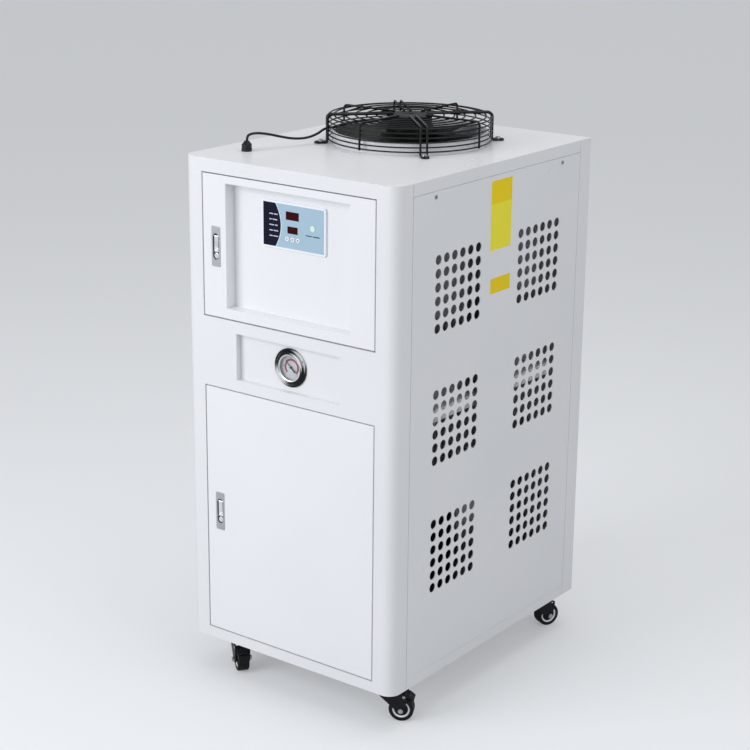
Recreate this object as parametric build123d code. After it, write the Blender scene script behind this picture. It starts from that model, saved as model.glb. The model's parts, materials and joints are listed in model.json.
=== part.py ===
from build123d import *
import os
from math import cos, radians, sin, sqrt

# A recirculating chiller in a sheet-metal cabinet on four castors.
# Millimetres, X to the right, Y to the back, Z up, origin on the floor under the middle of the whole box.

# Cabinet
width = 515.0
depth = 667.0
height = 1000.0
sheet = 1.5
corner_radius = 25.0
panel_gap = 1.0
seat_gap = 0.3
front_return = 46.0
rear_post = 40.0
base_skirt = 22.0
roof_skirt = 24.0
fold = 12.0
ledge_width = 16.0
screw_drop = 10.0
screw_radius = 2.0
side_screw_reach = 220.0
shelf_height = 545.0
shelf_skirt = 25.0
vent_rows = 7
vent_pitch = 24.0
vent_drop = 110.0
vent_length = 260.0
vent_width = 8.0

# Doors, heights measured from the underside of the cabinet
door_opening = 420.0
upper_door_low = 687.0
upper_door_high = 973.0
lower_door_low = 22.0
lower_door_high = 546.0
door_gap = 2.5
door_edge_round = 1.0
jamb_depth = 14.0
door_flange = 12.0
pivot_inset = 9.0
pivot_back = 6.0
pivot_radius = 3.0
pivot_head = 1.6
pivot_bite = 7.0
running_fit = 0.05

# Recess of the upper door and the control module in it
recess_width = 300.0
recess_low = 710.0
recess_high = 956.0
recess_depth = 25.0
module_width = 155.0
module_height = 92.0
module_top_margin = 22.0
module_bezel = 4.0
module_body_depth = 26.0
module_border = 7.0
module_corner = 5.0
module_edge_round = 1.2
displays = ((75.0, 25.0, 31.5, 16.0), (75.5, 52.0, 25.0, 13.7))
window_depth = 1.5
window_gap = 0.05
menu_first = 62.5
menu_pitch = 13.2
menu_drop = 69.7
menu_radius = 4.6
start_across = 124.0
start_drop = 42.0
start_radius = 6.0
key_travel = 1.0
key_proud = 1.2
key_well = 3.4
key_floor = 1.1
key_fit = 0.15
key_round = 0.7

# Gauge recess between the doors
fascia_width = 254.0
fascia_low = 569.0
fascia_high = 663.0
fascia_depth = 12.5
gauge_flange_radius = 38.5
gauge_case_radius = 31.0
gauge_wall = 1.5
gauge_proud = 6.0
gauge_case_depth = 30.0
gauge_flange = 2.5
gauge_lip = 2.5
gauge_glass_thickness = 2.0
gauge_boss_radius = 6.0
gauge_stem_radius = 7.0
gauge_stem_length = 15.0
gauge_screw_circle = 35.2
gauge_screw_radius = 1.8
dial_depth = 8.8
dial_thickness = 1.2
needle_depth = 7.0
needle_thickness = 0.8
needle_tip = 18.0
needle_tail = 13.0
needle_turn = 138.0
needle_hub_radius = 2.4
spindle_radius = 1.0
spindle_bite = 7.5

# Perforated panels
hole_radius = 9.5
hole_pitch = 26.5
holes_across = 6
group_rows = 3
group_pitch_z = 262.0
group_pitch_y = 282.0
group_rise = 18.0

# Flush latches
latch_x = -175.0
latch_width = 22.0
latch_height = 80.0
latch_proud = 1.0
latch_pocket_width = 15.0
latch_pocket_height = 52.0
latch_pocket_depth = 8.0
latch_rim = 2.0
case_gap = 0.2
lever_width = 10.0
lever_length = 31.5
lever_thickness = 4.5
lever_barrel = 2.2
lever_sunk = 2.6
lever_drop = 6.2
trunnion_radius = 1.3
trunnion_reach = 3.0
trunnion_end = 0.6
grip_grooves = 3
grip_low = 8.0
grip_pitch = 2.4
grip_groove_radius = 0.5
latch_button_radius = 5.8
button_fit = 0.1
button_sunk = 0.5
button_length = 9.0
button_round = 0.8
tongue_height = 20.0
tongue_thickness = 4.0
tongue_hook = 6.5
tongue_tail = 4.0
tongue_back = 0.5
guide_wall = 1.5
guide_window = 6.0
slide_gap = 0.2
joint = 0.01

# Fan on the roof
fan_back = 57.0
ring_radius = 154.0
ring_height = 26.0
ring_lip = 2.0
ring_flange = 9.0
rotor_radius = 149.0
rotor_hub_radius = 47.0
blade_count = 5
blade_thickness = 2.5
guard_height = 60.0
guard_radius = 163.5
guard_ring_wire = 1.5
guard_leg_wire = 2.25
guard_ring_pitch = 9.0
guard_side_rings = 6
guard_top_rings = 9
guard_top_pitch = 11.5
leg_spread = 6.5
foot_reach = 24.0
foot_bend = 6.4
guard_bend = 8.0
guard_screw_radius = 2.5
guard_washer = 1.2
guard_hub_plate = 3.2
guard_first_ring = 8.0
rib_foot = 6.0
leg_overlap = 12.0
rib_overlap = 8.0
weld = 0.3
motor_inset = 3.0
motor_clearance = 3.0
motor_hole_circle = 31.0
motor_hole_radius = 3.0
motor_hole_depth = 6.0
stub_radius = 8.0
stub_seat = 20.0
rotor_top_rise = 36.0
rotor_low_drop = 40.0
rotor_cup_deep = 12.0
blade_rise = 8.0
blade_chords = (62.0, 82.0, 104.0)
blade_pitches = (40.0, 31.0, 24.0)
blade_sweeps = (0.0, 4.0, 13.0)

# Fan lead and cable glands
lead_radius = 2.5
gland_x = -183.7
gland_from_front = 103.6
gland_height = 20.0
gland_grip = 8.0
lead_rises = ((0.0, 7.0), (0.035, 12.5), (0.12, 13.5), (0.24, 10.0), (0.38, 3.0), (0.55, -4.5), (0.72, -6.0),
              (0.86, 1.0))
lead_inside = ((9.0, 29.5), (-9.0, 31.5), (-40.0, 40.0), (-75.0, 45.5))
lead_end = 46.0
lead_bite = 0.02
mains_bore = 5.0
mains_x = 150.0
mains_rise = 60.0
thread_radius = 8.0
thread_gap = 0.2
gland_hexagon = 11.0
nut_hexagon = 10.5
gland_neck = 9.2
gland_flange = 6.0
gland_neck_length = 5.0
thread_length = 9.0
lock_thickness = 5.0
nut_thickness = 7.0

# Castors
castor_height = 76.0
castor_plate_half = 30.0
castor_plate_thickness = 3.0
castor_bolt_reach = 22.0
castor_bolt_radius = 2.7
castor_cup_radius = 21.0
castor_cup_depth = 7.0
castor_bolt_show = 1.5
castor_head_radius = 4.5
castor_head_depth = 3.2
king_pin_radius = 5.0
king_pin_rivet = 8.0
king_pin_drop = 8.0
mount_bar = 6.0
mount_bar_half = 32.0
mount_bar_show = 4.0
castor_inset_right = 51.0
castor_inset_left = 75.0
castor_inset_front = 60.0
castor_inset_back = 62.0
wheel_radius = 25.0
wheel_width = 24.0
castor_trail = 26.0
fork_plate = 2.5
fork_gap = 1.6
fork_reach = 18.0
cheek_back = 16.0
cheek_reach = 38.0
cheek_eye = 8.0
axle_radius = 3.0
axle_head = 5.4
axle_head_depth = 4.0
axle_nut_depth = 4.5
tread_round = 3.0
web_radius = 18.0
web_depth = 3.0
hub_radius = 6.5
hub_depth = 1.0
pedal_x = 32.0
pedal_z = 54.0
pedal_pin_radius = 2.0
pedal_gap = 0.5
castor_turns = {"front_right": 28.0, "front_left": -38.0, "rear_right": 63.0, "rear_left": 150.0}

# Water ports through the back panel
port_reach = 24.0
port_radius = 13.0
port_wall = 3.0
port_collar = 4.0
port_rise = 150.0
drain_radius = 10.0
drain_rise = 70.0

# Inside the cabinet
compressor_radius = 78.0
compressor_height = 285.0
compressor_foot = 95.0
compressor_from_front = 165.0
coil_inset = 34.0
coil_thickness = 40.0
coil_height = 400.0
coil_from_front = 111.5
coil_from_back = 105.5
tank_half_width = 170.0
tank_from_front = 343.5
tank_from_back = 70.0
tank_height = 390.0
pump_radius = 52.0
pump_rise = 75.0
pump_fins = 12
pump_from_front = 150.0
neck_radius = 17.0
riser_inset = 54.0
risers_from_front = (66.0, 92.0)
pipe_radius = 5.0
drier_radius = 14.0
plate_half_width = 175.0
plate_height = 330.0
plate_from_front = 120.0
rail_depth = 7.5
rail_rises = (60.0, 175.0, 290.0)

# Places that follow from the sizes above
front = (latch_proud - depth - port_reach) / 2
back = front + depth
middle = (front + back) / 2
side = width / 2
bottom = castor_height + mount_bar_show
top = bottom + height
inner = sheet + seat_gap
door_width = door_opening - 2 * door_gap
door_edge = door_width / 2
pivot_x = door_edge - pivot_inset
pivot_y = front + pivot_back
upper_door_z = (bottom + upper_door_low, bottom + upper_door_high)
lower_door_z = (bottom + lower_door_low, bottom + lower_door_high)
fan_y = middle + fan_back
roof_top = top
gauge_z = bottom + (fascia_low + fascia_high) / 2
module_z = bottom + recess_high - module_top_margin - module_height / 2
module_face = front + recess_depth - module_bezel
side_y = (front + front_return + panel_gap, back - rear_post - panel_gap)
side_z = (bottom + base_skirt + seat_gap, top - roof_skirt - panel_gap)
side_middle = sum(side_y) / 2
screw_z = side_z[1] - screw_drop
back_x = (-side + rear_post + panel_gap, side - rear_post - panel_gap)
shelf_top = bottom + shelf_height
floor_low = castor_height + mount_bar
floor_top = floor_low + sheet
gland_y = front + gland_from_front
lever_y = front + lever_sunk
tongue_y = (front + jamb_depth + tongue_back, front + jamb_depth + tongue_back + tongue_thickness)
leg_radius = guard_radius + guard_ring_wire + guard_leg_wire - weld
leg_top = roof_top + guard_height - guard_leg_wire
leg_foot = roof_top + guard_leg_wire
foot_end = leg_radius + foot_reach
foot_screw = (leg_radius + foot_end) / 2 + 1
motor_top = leg_top - guard_leg_wire - 2 * guard_ring_wire + weld - 0.2
rotor_top = roof_top + rotor_top_rise
rotor_low = roof_top - rotor_low_drop
blade_mid = roof_top + blade_rise
gauge_front = front + fascia_depth - gauge_proud
needle_back = gauge_front + needle_depth
dial_y = gauge_front + dial_depth
plate_low = castor_height - castor_plate_thickness
cup_low = plate_low - castor_cup_depth
fork_top = cup_low - 0.4
coil_y = (front + coil_from_front, back - coil_from_back)
compressor_place = (95.0, front + compressor_from_front)
pump_place = (-105.0, front + pump_from_front)
plate_y = front + plate_from_front
rail_y = plate_y - rail_depth
parts = {}


def block(x, y, z):
    """A box between two limits on each axis."""
    size = [high - low for low, high in (x, y, z)]
    centre = [(high + low) / 2 for low, high in (x, y, z)]
    return Pos(*centre) * Box(*size)


def rod(radius, start, direction, length):
    """A round bar that starts at a point and runs along a direction."""
    base = Plane(origin=start, z_dir=direction)
    return base * Cylinder(radius, length, align=(Align.CENTER, Align.CENTER, Align.MIN))


def facing(y):
    """A sketch plane that looks out of the front, with its own y upwards."""
    return Plane(origin=(0, y, 0), x_dir=(1, 0, 0), z_dir=(0, -1, 0))


def slab(sketch, y, thickness):
    """A sketch seen from the front, given a thickness towards the back."""
    return extrude(facing(y) * sketch, amount=thickness, dir=(0, 1, 0))


def wire(points, radii, radius):
    """A round wire bent at each inner point."""
    path = FilletPolyline(*points, radius=radii)
    section = Plane(origin=path @ 0, z_dir=path % 0) * Circle(radius)
    return sweep(section, path=path)


def footprint(margin, z, thickness):
    """The plan of the cabinet, rounded at the front, drawn in by a margin."""
    shape = block((-side + margin, side - margin), (front + margin, back - margin), (z, z + thickness))
    edges = shape.edges().filter_by(Axis.Z).group_by(Axis.Y)[0]
    return fillet(edges, corner_radius - margin)


def hollow(x, y, z, wall):
    """A four-sided frame of sheet, open at the front and the back."""
    (x0, x1), (z0, z1) = x, z
    return block(x, y, z) - block((x0 + wall, x1 - wall), y, (z0 + wall, z1 - wall))


def save(name, *pieces):
    """Keeps the solids of one piece, or of a group of like pieces, under its name."""
    solids = [solid for piece in pieces for solid in piece.solids()]
    parts[name] = solids[0] if len(solids) == 1 else Compound(children=solids)


def perforation(centre_y, centre_z, radius):
    """One square group of round holes."""
    grid = GridLocations(hole_pitch, hole_pitch, holes_across, holes_across)
    return [Pos(centre_y, centre_z) * place * Circle(radius) for place in grid]


# Cabinet shells


def base_tray():
    """The floor pan with its skirts, its ledges for the panels, and the two bars that carry the castors."""
    tray = footprint(inner, floor_low, sheet)
    ledge = bottom + base_skirt
    for hand in (-1, 1):
        outer = sorted((hand * side, hand * (side - sheet)))
        inward = sorted((hand * side, hand * (side - ledge_width)))
        tray += block(inward, side_y, (floor_low, floor_top))
        tray += block(outer, side_y, (bottom, ledge))
        tray += block(inward, side_y, (ledge - sheet, ledge))
    inward = (back - ledge_width, back)
    tray += block(back_x, inward, (floor_low, floor_top))
    tray += block(back_x, (back - sheet, back), (bottom, ledge))
    tray += block(back_x, inward, (ledge - sheet, ledge))
    bar_end = side - castor_inset_right + castor_plate_half - 1
    for row in (front + castor_inset_front, back - castor_inset_back):
        bar_y = (row - mount_bar_half, row + mount_bar_half)
        tray += block((-bar_end, bar_end), bar_y, (castor_height, floor_low))
    bolt_hole = castor_bolt_radius + running_fit
    for x, y in castor_places().values():
        for hole in plate_holes(x, y):
            tray -= rod(bolt_hole, (*hole, castor_height - 1), (0, 0, 1), mount_bar + sheet + 2)
    return tray


def front_frame():
    """The folded front: rounded upright corners, two door openings with jambs, and the gauge's pan."""
    shell = footprint(0, bottom, height - sheet) - footprint(sheet, bottom - 1, height + 2)
    shell &= block((-side, side), (front, front + front_return), (bottom, top))
    half = door_opening / 2
    for low, high in (upper_door_z, lower_door_z):
        shell -= block((-half, half), (front - 1, front + sheet + 1), (low, high))
        jamb_x = (-half - sheet, half + sheet)
        shell += hollow(jamb_x, (front, front + jamb_depth), (low - sheet, high + sheet), sheet)
        for z in (low, high):
            shell -= rod(pivot_radius + running_fit, (pivot_x, pivot_y, z - 5), (0, 0, 1), 10)
    return shell - recess_hole() + fascia_pan()


def recess_hole():
    half = fascia_width / 2
    return block((-half, half), (front - 1, front + sheet + 1), (bottom + fascia_low, bottom + fascia_high))


def fascia_pan():
    half = fascia_width / 2
    low, high = bottom + fascia_low, bottom + fascia_high
    floor_y = (front + fascia_depth, front + fascia_depth + sheet)
    pan = hollow((-half - sheet, half + sheet), (front, floor_y[1]), (low - sheet, high + sheet), sheet)
    pan += block((-half, half), floor_y, (low, high))
    pan -= rod(gauge_case_radius + seat_gap, (0, front, gauge_z), (0, 1, 0), fascia_depth + 2 * sheet)
    return pan


def rear_posts():
    """The two folded corner posts at the back."""
    posts = []
    for hand in (-1, 1):
        post_x = sorted((hand * side, hand * (side - rear_post)))
        hollow_x = sorted((hand * (side - sheet), hand * (side - rear_post - 1)))
        post = block(post_x, (back - rear_post, back), (bottom, top - sheet))
        post -= block(hollow_x, (back - rear_post - 1, back - sheet), (bottom - 1, top))
        posts.append(post)
    return posts


def roof_panel():
    """The roof with skirts on three sides, each stepped inwards to hold the screws of a panel."""
    roof = footprint(0, top - sheet, sheet)
    low = top - roof_skirt
    lip_out, lip_in = inner, inner + sheet
    lip_z = (low - 2 * screw_drop, low + sheet)
    hole = screw_radius + running_fit
    for hand in (-1, 1):
        outer = sorted((hand * side, hand * (side - sheet)))
        bridge = sorted((hand * side, hand * (side - lip_in)))
        lip = sorted((hand * (side - lip_out), hand * (side - lip_in)))
        roof += block(outer, side_y, (low, top))
        roof += block(bridge, side_y, (low, low + sheet))
        roof += block(lip, side_y, lip_z)
        for y in side_screws():
            roof -= rod(hole, (hand * (side - fold / 2), y, screw_z), (hand, 0, 0), fold)
    roof += block(back_x, (back - sheet, back), (low, top))
    roof += block(back_x, (back - lip_in, back), (low, low + sheet))
    roof += block(back_x, (back - lip_in, back - lip_out), lip_z)
    for x in back_screws():
        roof -= rod(hole, (x, back - fold / 2, screw_z), (0, 1, 0), fold)
    under = top - 2 * sheet
    roof -= rod(ring_radius + sheet + seat_gap, (0, fan_y, under), (0, 0, 1), 3 * sheet)
    roof -= rod(thread_radius + thread_gap, (gland_x, gland_y, under), (0, 0, 1), 3 * sheet)
    for x, y in guard_feet():
        roof -= rod(guard_screw_radius + running_fit, (x, y, under), (0, 0, 1), 3 * sheet)
    return roof


def fan_ring():
    """The spun inlet ring: a flange under the roof, a wall up through it and a rolled lip."""
    low = top - 2 * sheet
    wall_top = top + ring_height - ring_lip
    ring = rod(ring_radius + ring_flange, (0, fan_y, low), (0, 0, 1), sheet)
    ring += rod(ring_radius + sheet, (0, fan_y, low), (0, 0, 1), wall_top - low)
    ring += Pos(0, fan_y, wall_top) * Torus(ring_radius + ring_lip, ring_lip)
    return ring - rod(ring_radius, (0, fan_y, low - 1), (0, 0, 1), 2 * ring_height)


def side_panel(hand):
    """A perforated side, folded inwards along three edges and hooked on the base."""
    (y0, y1), (z0, z1) = side_y, side_z
    plane = Plane(origin=(side, 0, 0), x_dir=(0, 1, 0), z_dir=(1, 0, 0))
    face = Pos((y0 + y1) / 2, (z0 + z1) / 2) * Rectangle(y1 - y0, z1 - z0)
    middle_z = sum(side_z) / 2 + group_rise
    holes = []
    for row in range(group_rows):
        z = middle_z + (row - (group_rows - 1) / 2) * group_pitch_z
        for offset in (-group_pitch_y / 2, group_pitch_y / 2):
            holes += perforation(side_middle + offset, z, hole_radius)
    for y in side_screws():
        holes.append(Pos(y, screw_z) * Circle(screw_radius + seat_gap))
    panel = extrude(plane * (face - holes), amount=-sheet)
    inside = (side - fold, side)
    upright = (z0, z1 - roof_skirt)
    panel += block(inside, (y0, y0 + sheet), upright)
    panel += block(inside, (y1 - sheet, y1), upright)
    panel += block(inside, (y0, y1), (z0, z0 + sheet))
    return panel if hand > 0 else mirror(panel, about=Plane.YZ)


def side_screws():
    return (side_middle - side_screw_reach, side_middle + side_screw_reach)


def back_screws():
    return (-side + rear_post + 2 * fold, side - rear_post - 2 * fold)


def back_panel():
    """The back, folded along three edges, with vents above and the water ports below."""
    (z0, z1) = side_z
    x1 = back_x[1] - panel_gap
    face = Pos(0, (z0 + z1) / 2) * Rectangle(2 * x1, z1 - z0)
    holes = [Pos(x, screw_z) * Circle(screw_radius + seat_gap) for x in back_screws()]
    for x, z, radius in port_places():
        holes.append(Pos(x, z) * Circle(radius + panel_gap / 2))
    holes.append(Pos(mains_x, bottom + mains_rise) * Circle(thread_radius + thread_gap))
    for row in range(vent_rows):
        holes.append(Pos(0, top - vent_drop - row * vent_pitch) * SlotOverall(vent_length, vent_width))
    panel = slab(face - holes, back - sheet, sheet)
    inside = (back - fold, back)
    upright = (z0, z1 - roof_skirt)
    panel += block((-x1, -x1 + sheet), inside, upright)
    panel += block((x1 - sheet, x1), inside, upright)
    panel += block((-x1, x1), inside, (z0, z0 + sheet))
    return panel


def shelf():
    """The plate between the two compartments, with edges folded down and four tabs to the frame."""
    edge_x = side - ledge_width
    run = (front + fascia_depth + sheet + door_gap, back - fold - 2 * panel_gap)
    plate = block((-edge_x, edge_x), run, (shelf_top - sheet, shelf_top))
    for hand in (-1, 1):
        edge = sorted((hand * edge_x, hand * (edge_x - sheet)))
        plate += block(edge, run, (shelf_top - shelf_skirt, shelf_top))
        for reach in (front + 2.5 * fold, back - 2.5 * fold):
            tab = sorted((hand * (edge_x - 1), hand * (side - inner)))
            plate += block(tab, (reach - fold / 2, reach + fold / 2), (shelf_top - shelf_skirt, shelf_top))
    for x, y in riser_places():
        plate -= rod(pipe_radius + 7, (x, y, shelf_top - 2 * sheet), (0, 0, 1), 4 * sheet)
    return plate


def screw(radius, length):
    """A pan-head screw along +Z with its head above the origin."""
    head = Cylinder(radius * 2, radius * 0.9, align=(Align.CENTER, Align.CENTER, Align.MIN))
    head = fillet(head.edges().sort_by(Axis.Z)[-1], radius * 0.7)
    head -= Pos(0, 0, radius * 0.9) * Box(radius * 2.4, radius * 0.45, radius * 0.7)
    head -= Pos(0, 0, radius * 0.9) * Box(radius * 0.45, radius * 2.4, radius * 0.7)
    shank = Cylinder(radius, length, align=(Align.CENTER, Align.CENTER, Align.MAX))
    return head + shank


def cabinet_screws():
    """The screws of the side panels, of the back panel and of the fan guard's feet."""
    screws = []
    for hand in (-1, 1):
        for y in side_screws():
            seat = Plane(origin=(hand * side, y, screw_z), z_dir=(hand, 0, 0))
            screws.append(seat * screw(screw_radius, 8))
    for x in back_screws():
        screws.append(Plane(origin=(x, back, screw_z), z_dir=(0, 1, 0)) * screw(screw_radius, 8))
    for x, y in guard_feet():
        foot_top = leg_foot + guard_leg_wire
        washer = rod(leg_spread, (x, y, foot_top), (0, 0, 1), guard_washer)
        screws.append(Pos(x, y, foot_top + guard_washer) * screw(guard_screw_radius, 12) + washer)
    return screws


# Doors


def door_pivots():
    """A headed pin through the jamb into the top and the foot of each door."""
    pins = []
    for low, high in (upper_door_z, lower_door_z):
        for z, way in ((low, 1), (high, -1)):
            start = z - way * (sheet + pivot_head)
            head_radius = pivot_back - sheet - seat_gap
            head = rod(head_radius, (pivot_x, pivot_y, start), (0, 0, way), pivot_head - seat_gap / 2)
            length = pivot_head + sheet + door_gap + pivot_bite
            pins.append(head + rod(pivot_radius, (pivot_x, pivot_y, start), (0, 0, way), length))
    return pins


def door(low, high):
    """A folded door leaf with holes for its two pivot pins and its latch."""
    z = (low + door_gap, high - door_gap)
    leaf = block((-door_edge, door_edge), (front, front + door_flange), z)
    leaf = fillet(leaf.faces().sort_by(Axis.Y)[0].edges(), door_edge_round)
    leaf -= block((-door_edge + sheet, door_edge - sheet), (front + sheet, front + door_flange + 1),
                  (z[0] + sheet, z[1] - sheet))
    leaf -= rod(pivot_radius + running_fit, (pivot_x, pivot_y, z[0] - 1), (0, 0, 1), z[1] - z[0] + 2)
    middle_z = (low + high) / 2
    half_x, half_z = latch_width / 2 - latch_rim, latch_height / 2 - latch_rim
    leaf -= block((latch_x - half_x, latch_x + half_x), (front - 1, front + sheet + 1),
                  (middle_z - half_z, middle_z + half_z))
    return leaf


def upper_door():
    """The door leaf with a pressed recess, and the cut-out for the control module in its floor."""
    leaf = door(*upper_door_z)
    half = recess_width / 2
    low, high = bottom + recess_low, bottom + recess_high
    leaf -= block((-half, half), (front - 1, front + sheet + 1), (low, high))
    floor_y = (front + recess_depth, front + recess_depth + sheet)
    leaf += hollow((-half - sheet, half + sheet), (front, floor_y[1]), (low - sheet, high + sheet), sheet)
    leaf += block((-half, half), floor_y, (low, high))
    body_x = module_width / 2 - module_border
    body_z = module_height / 2 - module_border
    leaf -= block((-body_x - seat_gap, body_x + seat_gap), (floor_y[0] - 1, floor_y[1] + 1),
                  (module_z - body_z - seat_gap, module_z + body_z + seat_gap))
    return leaf


def latch_body(z):
    """Face plate with its finger pocket, the case behind it and the guide of the tongue."""
    face = front - latch_proud
    case_back = front + jamb_depth
    outline = Pos(latch_x, z) * RectangleRounded(latch_width, latch_height, 1.5 * latch_rim)
    plate = slab(outline, face, latch_proud)
    plate = fillet(plate.faces().sort_by(Axis.Y)[0].edges(), latch_proud / 2)
    half_x, half_z = latch_width / 2 - latch_rim - case_gap, latch_height / 2 - latch_rim - case_gap
    case_x = (latch_x - half_x, latch_x + half_x)
    body = plate + block(case_x, (front - joint, case_back), (z - half_z, z + half_z))
    pocket = Pos(latch_x, z) * SlotOverall(latch_pocket_height, latch_pocket_width, rotation=90)
    body -= slab(pocket, face - 1, latch_pocket_depth + 1 + latch_proud)
    well = jamb_depth - sheet
    body -= rod(latch_button_radius + button_fit, (latch_x, front, button_z(z)), (0, 1, 0), well)
    trunnion = lever_width / 2 + trunnion_reach + trunnion_end
    start = (latch_x - trunnion, lever_y, lever_z(z))
    body -= rod(trunnion_radius + running_fit, start, (1, 0, 0), 2 * trunnion)
    return body + tongue_guide(z, case_x)


def tongue_guide(z, case_x):
    """Two cheeks behind the case that hold the tongue above and below."""
    low, high = tongue_y
    run = (front + jamb_depth - joint, high + guide_wall)
    past = (case_x[0] - 1, case_x[1] + 1)
    outer, slot = tongue_height / 2 + 2 * guide_wall, tongue_height / 2 + slide_gap
    guide = block(case_x, run, (z - outer, z + outer))
    guide -= block(past, (run[0] - 1, high + slide_gap), (z - slot, z + slot))
    return guide - block(past, run, (z - guide_window, z + guide_window))


def lever_z(z):
    """Height of the lever's trunnions in a latch whose middle is at z."""
    return z + latch_pocket_height / 2 - lever_drop


def button_z(z):
    """Height of the round button, at the foot of the pocket."""
    return z - latch_pocket_height / 2 + latch_pocket_width / 2


def latch_lever(z):
    """A finger lever that swings out on two small trunnions."""
    half = lever_width / 2
    x = (latch_x - half, latch_x + half)
    y = (lever_y - lever_barrel, lever_y - lever_barrel + lever_thickness)
    bar = block(x, y, (lever_z(z) - lever_length, lever_z(z)))
    bar = fillet(bar.edges().filter_by(Axis.X).group_by(Axis.Z)[0], lever_thickness / 3)
    bar += rod(lever_barrel, (x[0], lever_y, lever_z(z)), (1, 0, 0), lever_width)
    for step in range(grip_grooves):
        groove = (x[0] - 1, y[0], lever_z(z) - lever_length + grip_low - step * grip_pitch)
        bar -= rod(grip_groove_radius, groove, (1, 0, 0), lever_width + 2)
    pin = (x[0] - trunnion_reach, lever_y, lever_z(z))
    return bar + rod(trunnion_radius, pin, (1, 0, 0), lever_width + 2 * trunnion_reach)


def latch_button(z):
    """The round push button that frees the lever."""
    cap = rod(latch_button_radius, (latch_x, front + button_sunk, button_z(z)), (0, 1, 0), button_length)
    return fillet(cap.edges().sort_by(Axis.Y)[0], button_round)


def latch_tongue(z):
    """The sliding tongue, chamfered at its tip, that hooks behind the jamb."""
    x = (-door_opening / 2 - tongue_hook, latch_x + tongue_tail)
    tongue = block(x, tongue_y, (z - tongue_height / 2, z + tongue_height / 2))
    ramp = tongue.edges().filter_by(Axis.Z).group_by(Axis.X)[0].sort_by(Axis.Y)[-1]
    return chamfer(ramp, 0.75 * tongue_thickness)


# Control module


def panel_point(across, down):
    """A point on the control module's face, measured from its top left corner."""
    return (across - module_width / 2, module_z + module_height / 2 - down)


def window_box(across, down, wide, tall, y):
    """The box of one display, between two depths."""
    x, z = panel_point(across, down)
    return block((x - wide / 2, x + wide / 2), y, (z - tall / 2, z + tall / 2))


def menu_places():
    return [panel_point(menu_first + menu_pitch * step, menu_drop) for step in range(3)]


def control_module():
    """A rounded bezel with the case behind it, cut for its two displays and four keys."""
    bezel = Pos(0, module_z) * RectangleRounded(module_width, module_height, module_corner)
    bezel = slab(bezel, module_face, module_bezel)
    bezel = fillet(bezel.faces().sort_by(Axis.Y)[0].edges(), module_edge_round)
    body_x = module_width / 2 - module_border
    body_z = module_height / 2 - module_border
    body_y = (front + recess_depth - joint, front + recess_depth + module_body_depth)
    module = bezel + block((-body_x, body_x), body_y, (module_z - body_z, module_z + body_z))
    for display in displays:
        module -= window_box(*display, (module_face - 1, module_face + window_depth))
    keys = [(*place, menu_radius) for place in menu_places()]
    keys.append((*panel_point(start_across, start_drop), start_radius))
    deep = key_well + key_travel + key_floor
    for x, z, radius in keys:
        module -= rod(radius + key_fit, (x, module_face - 1, z), (0, 1, 0), deep)
    return module


def display_windows():
    """The two windows, a hair smaller than their cut-outs."""
    y = (module_face, module_face + window_depth)
    gap = 2 * window_gap
    return [window_box(across, down, wide - gap, tall - gap, y) for across, down, wide, tall in displays]


def key(place, radius):
    """A round key that stands a little proud of the module's face."""
    cap = rod(radius, (place[0], module_face - key_proud, place[1]), (0, 1, 0), key_proud + key_well)
    return fillet(cap.edges().sort_by(Axis.Y)[0], key_round)


# Gauge


def gauge_body():
    """Flange, stepped bezel, deep cup, the boss of the needle and the threaded stem behind it."""
    inside = gauge_case_radius - gauge_wall
    seat = front + fascia_depth
    case_back = gauge_front + gauge_case_depth
    body = rod(gauge_flange_radius, (0, seat - gauge_flange, gauge_z), (0, 1, 0), gauge_flange)
    body += Plane(origin=(0, gauge_front, gauge_z), z_dir=(0, 1, 0)) * Cone(
        gauge_case_radius, gauge_flange_radius - 3, gauge_proud - gauge_flange + 0.1,
        align=(Align.CENTER, Align.CENTER, Align.MIN))
    body += rod(gauge_case_radius, (0, gauge_front, gauge_z), (0, 1, 0), gauge_case_depth)
    body -= rod(inside - gauge_lip, (0, gauge_front - 1, gauge_z), (0, 1, 0), 4)
    body -= rod(inside, (0, gauge_front + 2, gauge_z), (0, 1, 0), gauge_case_depth - 4)
    boss = (0, dial_y + dial_thickness + 0.2, gauge_z)
    body += rod(gauge_boss_radius, boss, (0, 1, 0), case_back - boss[1] - 1)
    body -= rod(spindle_radius + running_fit, (0, dial_y, gauge_z), (0, 1, 0), spindle_bite + 1.5)
    body += rod(gauge_stem_radius, (0, case_back - 1, gauge_z), (0, 1, 0), gauge_stem_length + 1)
    for turn in (30, 150, 270):
        x, z = cos(radians(turn)) * gauge_screw_circle, sin(radians(turn)) * gauge_screw_circle
        body -= rod(gauge_screw_radius, (x, seat - gauge_proud, gauge_z + z), (0, 1, 0), gauge_proud + 3)
    return body


def gauge_dial():
    """The dial plate, with a hole for the spindle."""
    dial = rod(gauge_case_radius - gauge_wall - 0.2, (0, dial_y, gauge_z), (0, 1, 0), dial_thickness)
    return dial - rod(spindle_radius + 0.6, (0, dial_y - 1, gauge_z), (0, 1, 0), 4)


def gauge_needle():
    """A thin pointer with a broad tail, on its spindle, at the reading seen."""
    edge = [(-needle_tail, 1.9), (0, 1.1), (needle_tip, 0.35)]
    outline = Polygon(*edge, *[(x, -y) for x, y in reversed(edge)], align=None)
    outline = Pos(0, gauge_z) * Rot(0, 0, needle_turn) * outline
    blade = slab(outline, needle_back - needle_thickness, needle_thickness)
    hub = rod(needle_hub_radius, (0, needle_back - 1.4, gauge_z), (0, 1, 0), 1.4)
    spindle = (0, needle_back - 0.2, gauge_z)
    return blade + hub + rod(spindle_radius, spindle, (0, 1, 0), dial_y + spindle_bite - needle_back)


def gauge_glass():
    radius = gauge_case_radius - gauge_wall - 0.2
    return rod(radius, (0, gauge_front + 2.2, gauge_z), (0, 1, 0), gauge_glass_thickness)


# Fan


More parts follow.
